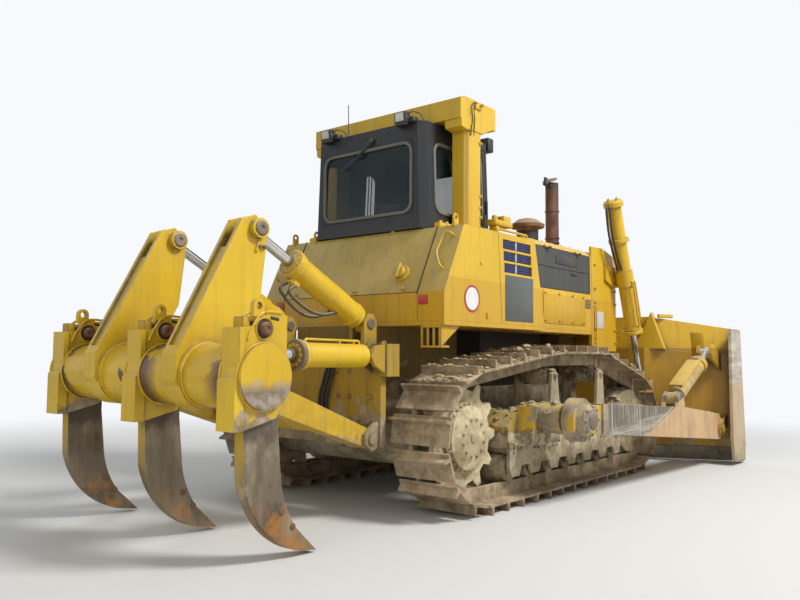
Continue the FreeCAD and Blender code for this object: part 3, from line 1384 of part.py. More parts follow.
arm_outline = (
    (at(d.arm_rear), size(660)),
    (at(d.arm_front - 40), size(340)),
    (at(d.arm_front), size(380)),
    (at(d.arm_front), size(600)),
    (at(d.arm_front - 60), size(665)),
    (at(3410), size(800)),
    (at(d.arm_rear), size(940)))
arm_box = prism("push_arm_box", "XZ", arm_outline, -ARM_OUTER, -ARM_INNER)
socket_step = ARM_OUTER - 105
socket = fuse("trunnion_socket",
              rod_along_y("socket_collar", size(200), at(d.trunnion_station),
                          d.trunnion_height, -socket_step, -(ARM_INNER + 10)),
              turned_across("socket_cap", (
                  (0, socket_step - 10),
                  (150, socket_step - 10),
                  (146, ARM_OUTER - 34),
                  (110, ARM_OUTER - 4),
                  (0, ARM_OUTER - 4)), at(d.trunnion_station), d.trunnion_height, size(0)))
neck = box("socket_neck",
           (at(d.trunnion_station), -(ARM_OUTER - 20), size(668)),
           (at(d.arm_rear + 20), -(ARM_INNER + 20), size(930)))
socket_bore = rod_along_y("socket_bore", d.trunnion_radius + d.seat_gap,
                          at(d.trunnion_station), d.trunnion_height,
                          -(ARM_OUTER - 29), -(ARM_INNER - 10))
arm_bore = rod_along_y("arm_bore", d.arm_pin_radius + d.seat_gap, at(d.arm_pin_station),
                       d.arm_pin_height, -(ARM_OUTER + 10), -(ARM_INNER - 10))
brace_foot = []
brace_foot_outline = (
    (at(d.brace_low_station - 150), size(780)),
    (at(d.brace_low_station + 120), size(770)),
    (at(d.brace_low_station + 60), d.brace_low_height + 60),
    (at(d.brace_low_station - 20), d.brace_low_height + 85),
    (at(d.brace_low_station - 90), d.brace_low_height + 40))
for name, near in (("inner", -(BRACE_SIDE - brace_half - d.ear_gap)),
                   ("outer", -(BRACE_SIDE + brace_half + d.ear_gap + d.ear))):
    brace_foot.append(prism(f"brace_foot_{name}", "XZ", brace_foot_outline, near,
                            near + d.ear))
saddle_cut = rod_along_y("saddle_cut", d.brace_eye + 30, at(d.brace_low_station),
                         d.brace_low_height, -(BRACE_SIDE + brace_half + d.ear_gap),
                         -(BRACE_SIDE - brace_half - d.ear_gap))
right_arm = cut("push_arm_cut", fuse("push_arm_solid", arm_box, socket, neck, *brace_foot),
                socket_bore, arm_bore, saddle_cut)
node(right_arm, "push_arm_right")
node(mirror("push_arm_left", right_arm), "push_arm_left")


# Hydraulic cylinders: a bored barrel with its base eye, and a rod with its eye

def side_angle(start, end):
    """Angle about Y that points a turned piece from one pin to another."""
    dx = float(end[0]) - float(start[0])
    dz = float(end[1]) - float(start[1])
    return math.degrees(math.atan2(dx, dz)), math.hypot(dx, dz)


def barrel(label, side, start, end, radius, rod, length, eye, eye_half, head, depth):
    """A barrel from its base pin to its gland, bored for its rod down to depth."""
    angle, _ = side_angle(start, end)
    place = Placement(Vector(float(start[0]), -float(side), float(start[1])),
                      Rotation(Vector(0, 1, 0), angle))
    bore = rod + d.seat_gap
    neck = () if eye is None else ((0, 0), (eye_half - 8, 0), (eye_half - 8, head))
    tube = turned(label + "_tube", (
        *(neck or ((0, head),)),
        (radius, head),
        (radius, length - 90),
        (radius + 16, length - 90),
        (radius + 16, length - 40),
        (radius - 6, length - 40),
        (radius - 6, length),
        (bore, length),
        (bore, depth),
        (0, depth)), place)
    if eye is None:
        return tube
    lug = rod_along_y(label + "_eye", eye, start[0], start[1], -(side + eye_half),
                      -(side - eye_half))
    return fuse(label, tube, lug)


def rod(label, side, start, end, radius, inside, eye, eye_half):
    """A rod that begins inside its barrel and ends in its eye."""
    angle, span = side_angle(start, end)
    place = Placement(Vector(float(start[0]), -float(side), float(start[1])),
                      Rotation(Vector(0, 1, 0), angle))
    bar = turned(label + "_bar", (
        (0, inside), (radius, inside), (radius, size(span) - float(eye) * 0.6),
        (0, size(span) - float(eye) * 0.6)), place)
    lug = rod_along_y(label + "_eye", eye, end[0], end[1], -(side + eye_half),
                      -(side - eye_half))
    return fuse(label, bar, lug)


yoke = (at(d.lift_yoke_station), d.lift_yoke_height)
lift_eye = (at(d.lift_eye_station), d.lift_eye_height)
lift_tube = barrel("lift_barrel_tube", d.lift_side, yoke, lift_eye, d.lift_bore_radius,
                   d.lift_rod_radius, d.lift_below, None, None, -d.lift_above,
                   -(d.lift_above - 90))
collar_place = Placement(Vector(float(yoke[0]), -float(d.lift_side), float(yoke[1])),
                         Rotation(Vector(0, 1, 0), side_angle(yoke, lift_eye)[0]))
collar = turned("lift_collar", (
    (d.lift_bore_radius - 4, -95), (d.lift_bore_radius + 20, -95),
    (d.lift_bore_radius + 20, 95), (d.lift_bore_radius - 4, 95)), collar_place)
stub = rod_along_y("lift_stub", d.trunnion_stub, yoke[0], yoke[1],
                   -(d.lift_side - d.lift_bore_radius), -(d.hood_half_width + 2))
cap = turned("lift_cap", (
    (0, -(d.lift_above + d.lift_cap_height)),
    (d.lift_cap_radius - 22, -(d.lift_above + d.lift_cap_height)),
    (d.lift_cap_radius, -(d.lift_above + d.lift_cap_height - 24)),
    (d.lift_cap_radius, -(d.lift_above - 4)),
    (0, -(d.lift_above - 4))), collar_place)
right_lift_barrel = fuse("lift_barrel", lift_tube, collar, stub, cap)
node(pair("blade_lift_barrels", right_lift_barrel), "blade_lift_barrels")
right_lift_rod = rod("lift_rod", d.lift_side, yoke, lift_eye, d.lift_rod_radius,
                     size(-160), size(64), lift_half)
node(pair("blade_lift_rods", right_lift_rod), "blade_lift_rods")

brace_low = (at(d.brace_low_station), d.brace_low_height)
brace_high = (at(d.brace_high_station), d.brace_high_height)
node(pair("brace_barrels", barrel(
    "brace_barrel", BRACE_SIDE, brace_low, brace_high, d.brace_radius,
    d.brace_rod_radius, d.brace_barrel_length, d.brace_eye, brace_half,
    d.brace_eye + 34, size(260))), "brace_barrels")
node(pair("brace_rods", rod(
    "brace_rod", BRACE_SIDE, brace_low, brace_high, d.brace_rod_radius, size(520),
    d.brace_eye, brace_half)), "brace_rods")

tilt_half = size(50)
tilt_base = (at(d.tilt_base_station), d.tilt_base_height)
tower_pin = (at(d.tower_pin_station), d.tower_pin_height)
tilt_eye_bore = rod_along_y("tilt_eye_bore", d.arm_pin + d.seat_gap, tilt_base[0],
                            tilt_base[1], -(d.tower_side + tilt_half + 5),
                            -(d.tower_side - tilt_half - 5))
tilt_barrel = cut("tilt_barrel_bored", barrel(
    "tilt_barrel", d.tower_side, tilt_base, tower_pin, d.tilt_radius, d.tilt_rod_radius,
    d.tilt_barrel_length, d.tilt_eye, tilt_half, d.tilt_eye + 34, size(200)),
    tilt_eye_bore)
node(pair("ripper_tilt_barrels", tilt_barrel), "ripper_tilt_barrels")
node(pair("ripper_tilt_rods", rod(
    "tilt_rod", d.tower_side, tilt_base, tower_pin, d.tilt_rod_radius, size(560),
    d.tilt_eye, tilt_half)), "ripper_tilt_rods")

ram_half = size(56)
ram_base = (at(d.ram_base_station), d.ram_base_height)
ram_eye = (at(d.ram_eye_station), d.ram_eye_height)
node(pair("ripper_lift_barrels", barrel(
    "ram_barrel", d.ram_side, ram_base, ram_eye, d.ram_radius, d.ram_rod_radius,
    d.ram_barrel_length, d.ram_eye, ram_half, d.ram_eye + 34, size(180))),
    "ripper_lift_barrels")
node(pair("ripper_lift_rods", rod(
    "ram_rod", d.ram_side, ram_base, ram_eye, d.ram_rod_radius, size(420), d.ram_eye,
    ram_half)), "ripper_lift_rods")


# Ripper support bolted to the rear of the hull

def two_ears(label, side, half, outline):
    """A pair of ears on both sides of an eye, on the right-hand side."""
    ears = []
    for name, near in (("inner", -(side - half - d.ear_gap)),
                       ("outer", -(side + half + d.ear_gap + d.ear))):
        ears.append(prism(f"{label}_{name}", "XZ", outline, near, near + d.ear))
    return ears


support_front = at(d.case_rear) - d.seat_gap
support_parts = [box("support_beam",
                     (at(d.support_rear), -d.support_half_width, d.support_shelf),
                     (support_front, d.support_half_width, d.support_top - 120)),
                 box("support_plate",
                     (at(d.support_rear), -d.support_foot_width, d.support_bottom),
                     (at(d.support_rear + 70), d.support_foot_width,
                      d.support_shelf + 20)),
                 box("support_block",
                     (at(d.support_rear + 20), -d.case_half_width,
                      d.ground_clearance + 310),
                     (support_front, d.case_half_width, d.support_shelf + 20))]
support_side = two_ears("tilt_ear", d.tower_side, tilt_half, (
    (at(d.support_rear), d.support_top - 130),
    (support_front, d.support_top - 130),
    (support_front, d.tilt_base_height + 20),
    (at(d.tilt_base_station + 30), d.tilt_base_height + 88),
    (at(d.tilt_base_station - 40), d.tilt_base_height + 88),
    (at(d.support_rear), d.tilt_base_height + 20)))
support_side += two_ears("ram_ear", d.ram_side, ram_half, (
    (at(d.support_rear + 20), d.ram_base_height - 160),
    (at(d.ram_base_station - 20), d.ram_base_height - 85),
    (at(d.ram_base_station - 80), d.ram_base_height),
    (at(d.ram_base_station - 20), d.ram_base_height + 85),
    (at(d.support_rear + 20), d.ram_base_height + 100)))
arm_mid = (d.arm_side_inner + d.arm_side_outer) / 2
arm_half = (d.arm_side_outer - d.arm_side_inner) / 2
support_side += two_ears("foot_ear", arm_mid, arm_half, (
    (at(d.support_rear + 20), d.foot_height - 80),
    (at(d.foot_station), d.foot_height - 105),
    (at(d.foot_station - 85), d.foot_height - 40),
    (at(d.foot_station - 85), d.foot_height + 40),
    (at(d.foot_station), d.foot_height + 105),
    (at(d.support_rear + 20), d.foot_height + 150)))
support_side.append(rod_along_y("foot_pin", d.arm_pin, at(d.foot_station), d.foot_height,
                                -(d.arm_side_outer + d.ear_gap + d.ear + 20),
                                -(d.arm_side_inner - d.ear_gap - d.ear - 20)))
tilt_pin_bore = rod_along_y("tilt_pin_bore", d.arm_pin + d.seat_gap,
                            at(d.tilt_base_station), d.tilt_base_height,
                            -(d.tower_side + tilt_half + d.ear + 10),
                            -(d.tower_side - tilt_half - d.ear - 10))
tilt_base_pin = rod_along_y("tilt_base_pin", d.arm_pin, at(d.tilt_base_station),
                            d.tilt_base_height,
                            -(d.tower_side + tilt_half + d.ear_gap + d.ear + 14),
                            -(d.tower_side - tilt_half - d.ear_gap - d.ear - 14))
node(pair("ripper_base_pins", tilt_base_pin), "ripper_base_pins")
support_solid = (fuse("support_solid", *support_parts, *support_side,
          *[mirror(f"support_left_{k}", piece) for k, piece in enumerate(support_side)]))
node(cut("ripper_support", support_solid, tilt_pin_bore,
         mirror("tilt_pin_bore_left", tilt_pin_bore)), "ripper_support")


# Ripper arm: two box sides joined by a cross tube

arm_side = prism("ripper_arm_side", "XZ", (
    (at(d.foot_station - 10), d.foot_height - 84),
    (at(d.heel_station + 260), d.heel_height - 195),
    (at(d.heel_station), d.heel_height - 84),
    (at(d.heel_station), d.heel_height + 84),
    (at(d.heel_station + 260), d.heel_height + 20),
    (at(d.foot_station - 10), d.foot_height + 84)), -d.arm_side_outer, -d.arm_side_inner)
arm_eyes = [
    rod_along_y("arm_front_eye", d.arm_eye, at(d.foot_station), d.foot_height,
                -d.arm_side_outer, -d.arm_side_inner),
    rod_along_y("arm_rear_eye", d.arm_eye, at(d.heel_station), d.heel_height,
                -d.arm_side_outer, -d.arm_side_inner)]
arm_bores = [
    rod_along_y("arm_front_bore", d.arm_pin + d.seat_gap, at(d.foot_station),
                d.foot_height, -(d.arm_side_outer + 5), -(d.arm_side_inner - 5)),
    rod_along_y("arm_rear_bore", d.arm_pin + d.seat_gap, at(d.heel_station),
                d.heel_height, -(d.arm_side_outer + 5), -(d.arm_side_inner - 5))]
right_side = cut("ripper_arm_right", fuse("arm_side_solid", arm_side, *arm_eyes),
                 *arm_bores)
cross_tube = prism("arm_cross_tube", "XZ", (
    (at(d.foot_station - 330), d.foot_height + 60),
    (at(d.foot_station - 600), d.foot_height + 150),
    (at(d.foot_station - 600), d.foot_height + 270),
    (at(d.foot_station - 330), d.foot_height + 180)),
    -(d.arm_side_inner + 20), d.arm_side_inner + 20)
node(fuse("ripper_arm", right_side, mirror("ripper_arm_left", right_side), cross_tube),
     "ripper_arm")

heel_pin = rod_along_y("heel_pin", d.arm_pin, at(d.heel_station), d.heel_height,
                       -(d.arm_side_outer + d.ear_gap + d.ear + 12),
                       -(d.arm_side_inner - d.ear_gap - d.ear - 12))
node(pair("ripper_pins", heel_pin), "ripper_pins")


# Ripper beam: a tube with three shank pockets, two towers and its pin brackets

beam_end = d.pocket_spacing + d.pocket_width / 2
tool_tube = rod_along_y("tool_tube", d.tool_beam_radius, at(d.tool_beam_station),
                        d.tool_beam_height, -beam_end - d.tool_beam_proud,
                        beam_end + d.tool_beam_proud)
pocket_outline = (
    (at(d.pocket_rear), d.pocket_bottom),
    (at(d.pocket_front - 80), d.pocket_bottom + 70),
    (at(d.pocket_front), d.pocket_bottom + 220),
    (at(d.pocket_front), d.pocket_top),
    (at(d.pocket_rear + 190), d.pocket_top),
    (at(d.pocket_rear + 30), d.pocket_top - d.pocket_step, size(230), -1),
    (at(d.pocket_rear), d.pocket_top - d.pocket_step))
rear_outline = (
    (at(d.pocket_rear + 8), d.pocket_bottom),
    (at(d.pocket_rear + 8), d.pocket_top - d.pocket_step),
    (at(d.pocket_rear - 35), d.pocket_top - d.pocket_step),
    (at(d.pocket_rear - 35), d.tool_beam_height + 20),
    (at(d.pocket_rear - 70), d.tool_beam_height - 20),
    (at(d.pocket_rear - 70), d.pocket_bottom))
beam_parts, slots = [tool_tube], []
for name, k in (("right", -1), ("middle", 0), ("left", 1)):
    centre = d.pocket_spacing * k
    low, high = centre - d.pocket_width / 2, centre + d.pocket_width / 2
    beam_parts.append(prism(f"pocket_{name}", "XZ", pocket_outline, low, high))
    beam_parts.append(prism(f"pocket_back_{name}", "XZ", rear_outline, low - 10, high + 10))
    eye_width = d.eye_bore + d.eye_rim
    eye = fuse(f"lifting_eye_{name}",
               rod_along_y(f"lifting_eye_ring_{name}", eye_width, at(d.eye_station),
                           d.eye_height, low, low + d.pocket_plate),
               box(f"lifting_eye_stem_{name}",
                   (at(d.eye_station) - eye_width, low, d.pocket_top - 20),
                   (at(d.eye_station) + eye_width, low + d.pocket_plate, d.eye_height)))
    beam_parts.append(eye)
    slots.append(rod_along_y(f"lifting_eye_bore_{name}", d.eye_bore, at(d.eye_station),
                             d.eye_height, low - 5, low + d.pocket_plate + 5))
    slots.append(box(f"slot_{name}",
                     (at(d.shank_rear - d.shank_gap), low + d.pocket_plate,
                      d.pocket_bottom - 30),
                     (at(d.shank_front + d.shank_gap), high - d.pocket_plate,
                      d.pocket_top + 30)))
tower_outline = (
    (at(d.tool_beam_station - 265), d.tool_beam_height - 35),
    (at(d.tool_beam_station - 150), d.tool_beam_height - 190),
    (at(d.tool_beam_station + 150), d.tool_beam_height - 190),
    (at(d.tool_beam_station + 245), d.tool_beam_height),
    (at(d.tool_beam_station + 255), d.tool_beam_height + 170),
    (at(d.tower_pin_station + 40), d.tool_beam_height + 560),
    (at(d.tower_pin_station + d.tower_eye_radius), d.tower_pin_height),
    (at(d.tower_pin_station - 20), d.tower_pin_height + d.tower_eye_radius),
    (at(d.tower_pin_station - 150), d.tower_pin_height + 60),
    (at(d.tool_beam_station - 265), d.tool_beam_height + 150))
tower_low = -(d.tower_side + d.tower_width / 2)
tower_high = -(d.tower_side - d.tower_width / 2)
tower = prism("tower", "XZ", tower_outline, tower_low, tower_high)
tower_collar = rod_along_y("tower_collar", d.collar_radius, at(d.tool_beam_station),
                           d.tool_beam_height, tower_low - 14, tower_high + 14)
clevis_gap = prism("clevis_gap", "XZ", (
    (at(d.tower_pin_station - 130), d.tower_pin_height - 230),
    (at(d.tower_pin_station + 300), d.tower_pin_height - 230),
    (at(d.tower_pin_station + 300), d.tower_pin_height + 200),
    (at(d.tower_pin_station - 420), d.tower_pin_height + 200),
    (at(d.tower_pin_station - 420), d.tower_pin_height - 40)),
    -(d.tower_side + tilt_half + d.ear_gap), -(d.tower_side - tilt_half - d.ear_gap))
# the strip between the two plates lies a little inside their rear edges
back_low = (d.tool_beam_station - 265, d.tool_beam_height + 150)
back_high = (d.tower_pin_station - 150, d.tower_pin_height + 60)
web_groove = prism("web_groove", "XZ", (
    (at(back_low[0] - 60), back_low[1] + 60),
    (at(back_low[0] + d.tower_web_depth + 30), back_low[1] + 60),
    (at(back_high[0] + d.tower_web_depth), back_high[1]),
    (at(back_high[0] + d.tower_web_depth), back_high[1] + 120),
    (at(back_high[0] - 60), back_high[1] + 60)),
    -(d.tower_side + tilt_half), -(d.tower_side - tilt_half))
tower_boss_outer = rod_along_y("tower_boss_outer", d.tower_pin_radius + 22,
                               at(d.tower_pin_station), d.tower_pin_height,
                               tower_low - 50, tower_low + 5)
tower_boss_inner = rod_along_y("tower_boss_inner", d.tower_pin_radius + 22,
                               at(d.tower_pin_station), d.tower_pin_height,
                               tower_high - 5, tower_high + 50)
open_tower = cut("open_tower", tower, clevis_gap, web_groove)
right_beam = [open_tower, tower_collar, tower_boss_outer, tower_boss_inner]
right_beam += two_ears("ram_rod_ear", d.ram_side, ram_half, (
    (at(d.tool_beam_station + 120), d.ram_eye_height - 110),
    (at(d.ram_eye_station - 20), d.ram_eye_height - 75),
    (at(d.ram_eye_station + 48), d.ram_eye_height - 45),
    (at(d.ram_eye_station + 48), d.ram_eye_height + 45),
    (at(d.ram_eye_station - 20), d.ram_eye_height + 75),
    (at(d.tool_beam_station + 60), d.ram_eye_height + 60)))
right_beam += two_ears("heel_ear", arm_mid, arm_half, (
    (at(d.tool_beam_station + 90), d.heel_height - 80),
    (at(d.heel_station), d.heel_height - 92),
    (at(d.heel_station + 70), d.heel_height - 40),
    (at(d.heel_station + 70), d.heel_height + 40),
    (at(d.heel_station), d.heel_height + 92),
    (at(d.tool_beam_station + 120), d.heel_height + 150)))
right_bores = [
    rod_along_y("heel_bore", d.arm_pin + d.seat_gap, at(d.heel_station), d.heel_height,
                -(d.arm_side_outer + d.ear_gap + d.ear + 5),
                -(d.arm_side_inner - d.ear_gap - d.ear - 5))]
left_beam = [mirror(f"beam_left_{k}", piece) for k, piece in enumerate(right_beam)]
left_bores = [mirror(f"bore_left_{k}", piece) for k, piece in enumerate(right_bores)]
node(cut("ripper_beam", fuse("beam_solid", *beam_parts, *right_beam, *left_beam),
         *slots, *right_bores, *left_bores), "ripper_beam")


# Shanks with their points, curving forward to the ground

shank_outline = (
    (at(d.shank_rear), d.shank_top),
    (at(d.shank_rear + 30), size(560)),
    (at(d.shank_rear + 505), size(48), size(700), 1),
    (at(d.tip_station), d.tip_clearance),
    (at(d.tip_station - 200), size(205)),
    (at(d.shank_front + 30), size(600), size(700), -1),
    (at(d.shank_front), size(900)),
    (at(d.shank_front), d.shank_top))
shanks = []
shank_half = d.pocket_width / 2 - d.pocket_plate - d.seat_gap
for name, k in (("right", -1), ("middle", 0), ("left", 1)):
    centre = d.pocket_spacing * k
    shanks.append(prism(f"shank_{name}", "XZ", shank_outline, centre - shank_half,
                        centre + shank_half))
node(group("shanks", *shanks), "shanks")


# Check and write

doc.recompute()
faults = [o.Name for o in doc.Objects if "Invalid" in o.State or "Error" in o.State]
for piece in nodes:
    if piece.Shape.isNull() or not piece.Shape.isValid():
        faults.append(piece.Label)
if faults:
    raise SystemExit("not sound: " + ", ".join(sorted(set(faults))))

os.makedirs("parts", exist_ok=True)
for piece in nodes:
    piece.Shape.exportStep(f"parts/{piece.Label}.step")
bounds = nodes[0].Shape.BoundBox
for piece in nodes[1:]:
    bounds.add(piece.Shape.BoundBox)
print(len(nodes), "sub-parts, X", round(bounds.XMin), round(bounds.XMax), "Y",
      round(bounds.YMin), round(bounds.YMax), "Z", round(bounds.ZMin), round(bounds.ZMax))
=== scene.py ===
import json
import math
import random

import bmesh
import bpy
from mathutils import Matrix, Vector, noise
from mathutils.bvhtree import BVHTree

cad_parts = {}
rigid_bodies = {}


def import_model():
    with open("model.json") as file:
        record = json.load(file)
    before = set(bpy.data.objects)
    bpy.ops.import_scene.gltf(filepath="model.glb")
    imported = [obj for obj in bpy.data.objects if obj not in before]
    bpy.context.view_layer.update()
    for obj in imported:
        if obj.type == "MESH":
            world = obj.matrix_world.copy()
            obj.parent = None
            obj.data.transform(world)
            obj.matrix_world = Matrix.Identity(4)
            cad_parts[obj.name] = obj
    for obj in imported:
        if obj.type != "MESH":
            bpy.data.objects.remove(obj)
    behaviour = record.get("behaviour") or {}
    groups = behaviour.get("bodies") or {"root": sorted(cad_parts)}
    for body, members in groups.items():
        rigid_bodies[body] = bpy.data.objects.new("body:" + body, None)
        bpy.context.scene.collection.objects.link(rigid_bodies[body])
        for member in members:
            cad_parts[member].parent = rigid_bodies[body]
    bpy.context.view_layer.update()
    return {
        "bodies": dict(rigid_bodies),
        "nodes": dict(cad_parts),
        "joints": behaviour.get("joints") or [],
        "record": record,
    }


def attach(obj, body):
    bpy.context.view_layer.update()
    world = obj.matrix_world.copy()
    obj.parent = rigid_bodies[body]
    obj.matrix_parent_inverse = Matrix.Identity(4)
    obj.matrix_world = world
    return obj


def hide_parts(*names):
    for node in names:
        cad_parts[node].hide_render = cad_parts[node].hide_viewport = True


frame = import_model()
nodes = frame["nodes"]

# Studio: a pale floor under a white backdrop, three soft lamps and an even sky.
# The camera stands low at the machine's right rear corner, a little under eye height.
# Stations along the machine are counted from the sprocket's axle, in metres.
AXLE = -1.315
SIDES = ((-1, "right"), (1, "left"))
BACKDROP = (0.93, 0.95, 0.97)


def spot(station, y, z):
    return Vector((AXLE + station, y, z))


def placed(name, data):
    """Puts a new object with this data into the scene."""
    made = bpy.data.objects.new(name, data)
    scene.collection.objects.link(made)
    return made


def baked(name, mesh):
    """Turns a bmesh into mesh data."""
    data = bpy.data.meshes.new(name)
    mesh.to_mesh(data)
    mesh.free()
    return data


scene = bpy.context.scene
scene.view_settings.view_transform = "Standard"

camera = placed("camera", bpy.data.cameras.new("camera"))
scene.camera = camera
camera.data.sensor_width = 36.0
camera.data.lens = 771.54 / 800 * camera.data.sensor_width
camera.data.clip_end = 200.0
yaw, pitch, roll = math.radians(39.007), math.radians(4.096), math.radians(0.392)
level = Vector((math.cos(yaw), math.sin(yaw), 0))
side = Vector((math.sin(yaw), -math.cos(yaw), 0))
look = level * math.cos(pitch) + Vector((0, 0, 1)) * math.sin(pitch)
rise = Vector((0, 0, 1)) * math.cos(pitch) - level * math.sin(pitch)
camera_right = side * math.cos(roll) + rise * math.sin(roll)
camera_up = rise * math.cos(roll) - side * math.sin(roll)
camera.matrix_world = Matrix.Translation(spot(-5.725, -5.084, 1.3835)) @ Matrix(
    (camera_right, camera_up, -look)).transposed().to_4x4()

middle_of_machine = Vector((0, 0, 1.5))
for name, place, size, power in (
        ("key", (1.5, -10.0, 11.5), 3.2, 1950),
        ("rear_fill", (-11.0, -3.5, 5.0), 6.0, 230),
        ("left_fill", (6.5, 11.0, 7.0), 7.0, 420)):
    lamp = bpy.data.lights.new(name, "AREA")
    lamp.size = size
    lamp.energy = power
    placed(name, lamp).matrix_world = Matrix.Translation(place) @ (
        Vector(place) - middle_of_machine).to_track_quat("Z", "Y").to_matrix().to_4x4()


class Field:
    """One output of a material's node, so that a pattern reads as sums and products."""

    def __init__(self, tree, socket=None):
        self.tree = tree
        self.socket = socket

    def node(self, kind, settings, inputs, output=0):
        made = self.tree.nodes.new("ShaderNode" + kind)
        for name, value in settings.items():
            setattr(made, name, value)
        for name, value in inputs.items():
            if isinstance(value, Field):
                self.tree.links.new(value.socket, made.inputs[name])
            else:
                made.inputs[name].default_value = value
        return Field(self.tree, made.outputs[output])

    def math(self, operation, *values):
        """One of the Math node's operations on this value and any others."""
        return self.node("Math", {"operation": operation}, dict(enumerate((self, *values))))

    def __add__(self, other):
        return self.math("ADD", other)

    def __sub__(self, other):
        return self.math("SUBTRACT", other)

    def __rsub__(self, other):
        return self.node("Math", {"operation": "SUBTRACT"}, {0: other, 1: self})

    def __mul__(self, other):
        return self.math("MULTIPLY", other)

    __radd__ = __add__
    __rmul__ = __mul__

    def between(self, low, high):
        """0 below low, 1 above high and a soft step from one to the other."""
        return self.node("MapRange", {"interpolation_type": "SMOOTHSTEP"},
                         {"Value": self, "From Min": low, "From Max": high})

    def tint(self, below, above):
        """Colour that goes from below to above as this value goes from 0 to 1."""
        colours = [c if isinstance(c, Field) else (*c, 1) for c in (below, above)]
        return self.node("Mix", {"data_type": "RGBA"},
                         {0: self, 6: colours[0], 7: colours[1]}, 2)

    def part(self, axis):
        return self.node("SeparateXYZ", {}, {"Vector": self}, axis)

    def length(self):
        return self.node("VectorMath", {"operation": "LENGTH"}, {0: self}, "Value")

    def place(self):
        return self.node("TexCoord", {}, {}, "Object")

    def facing(self, axis):
        """How far the surface faces along an axis, from -1 to 1."""
        return self.node("TexCoord", {}, {}, "Normal").part(axis)

    def clouds(self, scale, detail=4.0, stretch=(1, 1, 1), shift=0.0):
        """Noise from 0 to 1, with features about one metre over scale across."""
        place = self.node("Mapping", {}, {
            "Vector": self, "Location": (shift, shift, shift),
            "Scale": tuple(scale * s for s in stretch)})
        return self.node("TexNoise", {}, {"Vector": place, "Scale": 1.0, "Detail": detail,
                                          "Roughness": 0.6})


def finish(name):
    """A new material, with its shader and a function that feeds one of its inputs."""
    material = bpy.data.materials.new(name)
    material.use_nodes = True
    tree = material.node_tree
    shader = tree.nodes["Principled BSDF"]
    return material, Field(tree), shader, (
        lambda field, entry: tree.links.new(field.socket, shader.inputs[entry]))


scene.world = bpy.data.worlds.new("sky")
scene.world.use_nodes = True
sky = scene.world.node_tree
seen = Field(sky).node("LightPath", {}, {}, "Is Camera Ray")
for ray in ("Is Glossy Ray", "Is Transmission Ray"):
    seen = seen.math("MAXIMUM", seen.node("LightPath", {}, {}, ray))
background = sky.nodes["Background"].inputs
sky.links.new(seen.tint((0.88, 0.94, 1.0), BACKDROP).socket, background["Color"])
sky.links.new((seen * 0.62 + 0.38).socket, background["Strength"])

floor_mesh = bmesh.new()
bmesh.ops.create_grid(floor_mesh, x_segments=1, y_segments=1, size=70)
floor = placed("floor", baked("floor", floor_mesh))
floor_finish, blank, shader, feed = finish("studio_floor")
shader.inputs["Base Color"].default_value = (0.66, 0.65, 0.62, 1)
shader.inputs["Roughness"].default_value = 0.9
haze = blank.place().length().between(4.6, 12.0) * blank.node(
    "LightPath", {}, {}, "Is Camera Ray")
glow = blank.node("Emission", {}, {"Color": (*BACKDROP, 1), "Strength": 1.0})
mix = blank.node("MixShader", {}, {0: haze, 1: Field(blank.tree, shader.outputs[0]), 2: glow})
blank.tree.links.new(mix.socket, blank.tree.nodes["Material Output"].inputs["Surface"])
floor.data.materials.append(floor_finish)


# Hull: belly housings, deck, tank and side boxes of thick plate, painted a warm yellow.
# Dust lies on what faces up, rain has drawn it down the sides, and the corners are tinted to
# the grime colour, partly as painted shade. Paint is chipped along the edges, where the plate's
# dark primer shows.
YELLOW = (0.62, 0.375, 0.014)
DUST = (0.45, 0.36, 0.20)
DRY_MUD = (0.40, 0.325, 0.215)
GRIME_AND_SHADE = (0.075, 0.058, 0.038)


def shaded(colour, *shares):
    return tuple(min(1, c * share) for c, share in zip(colour, shares * 3))


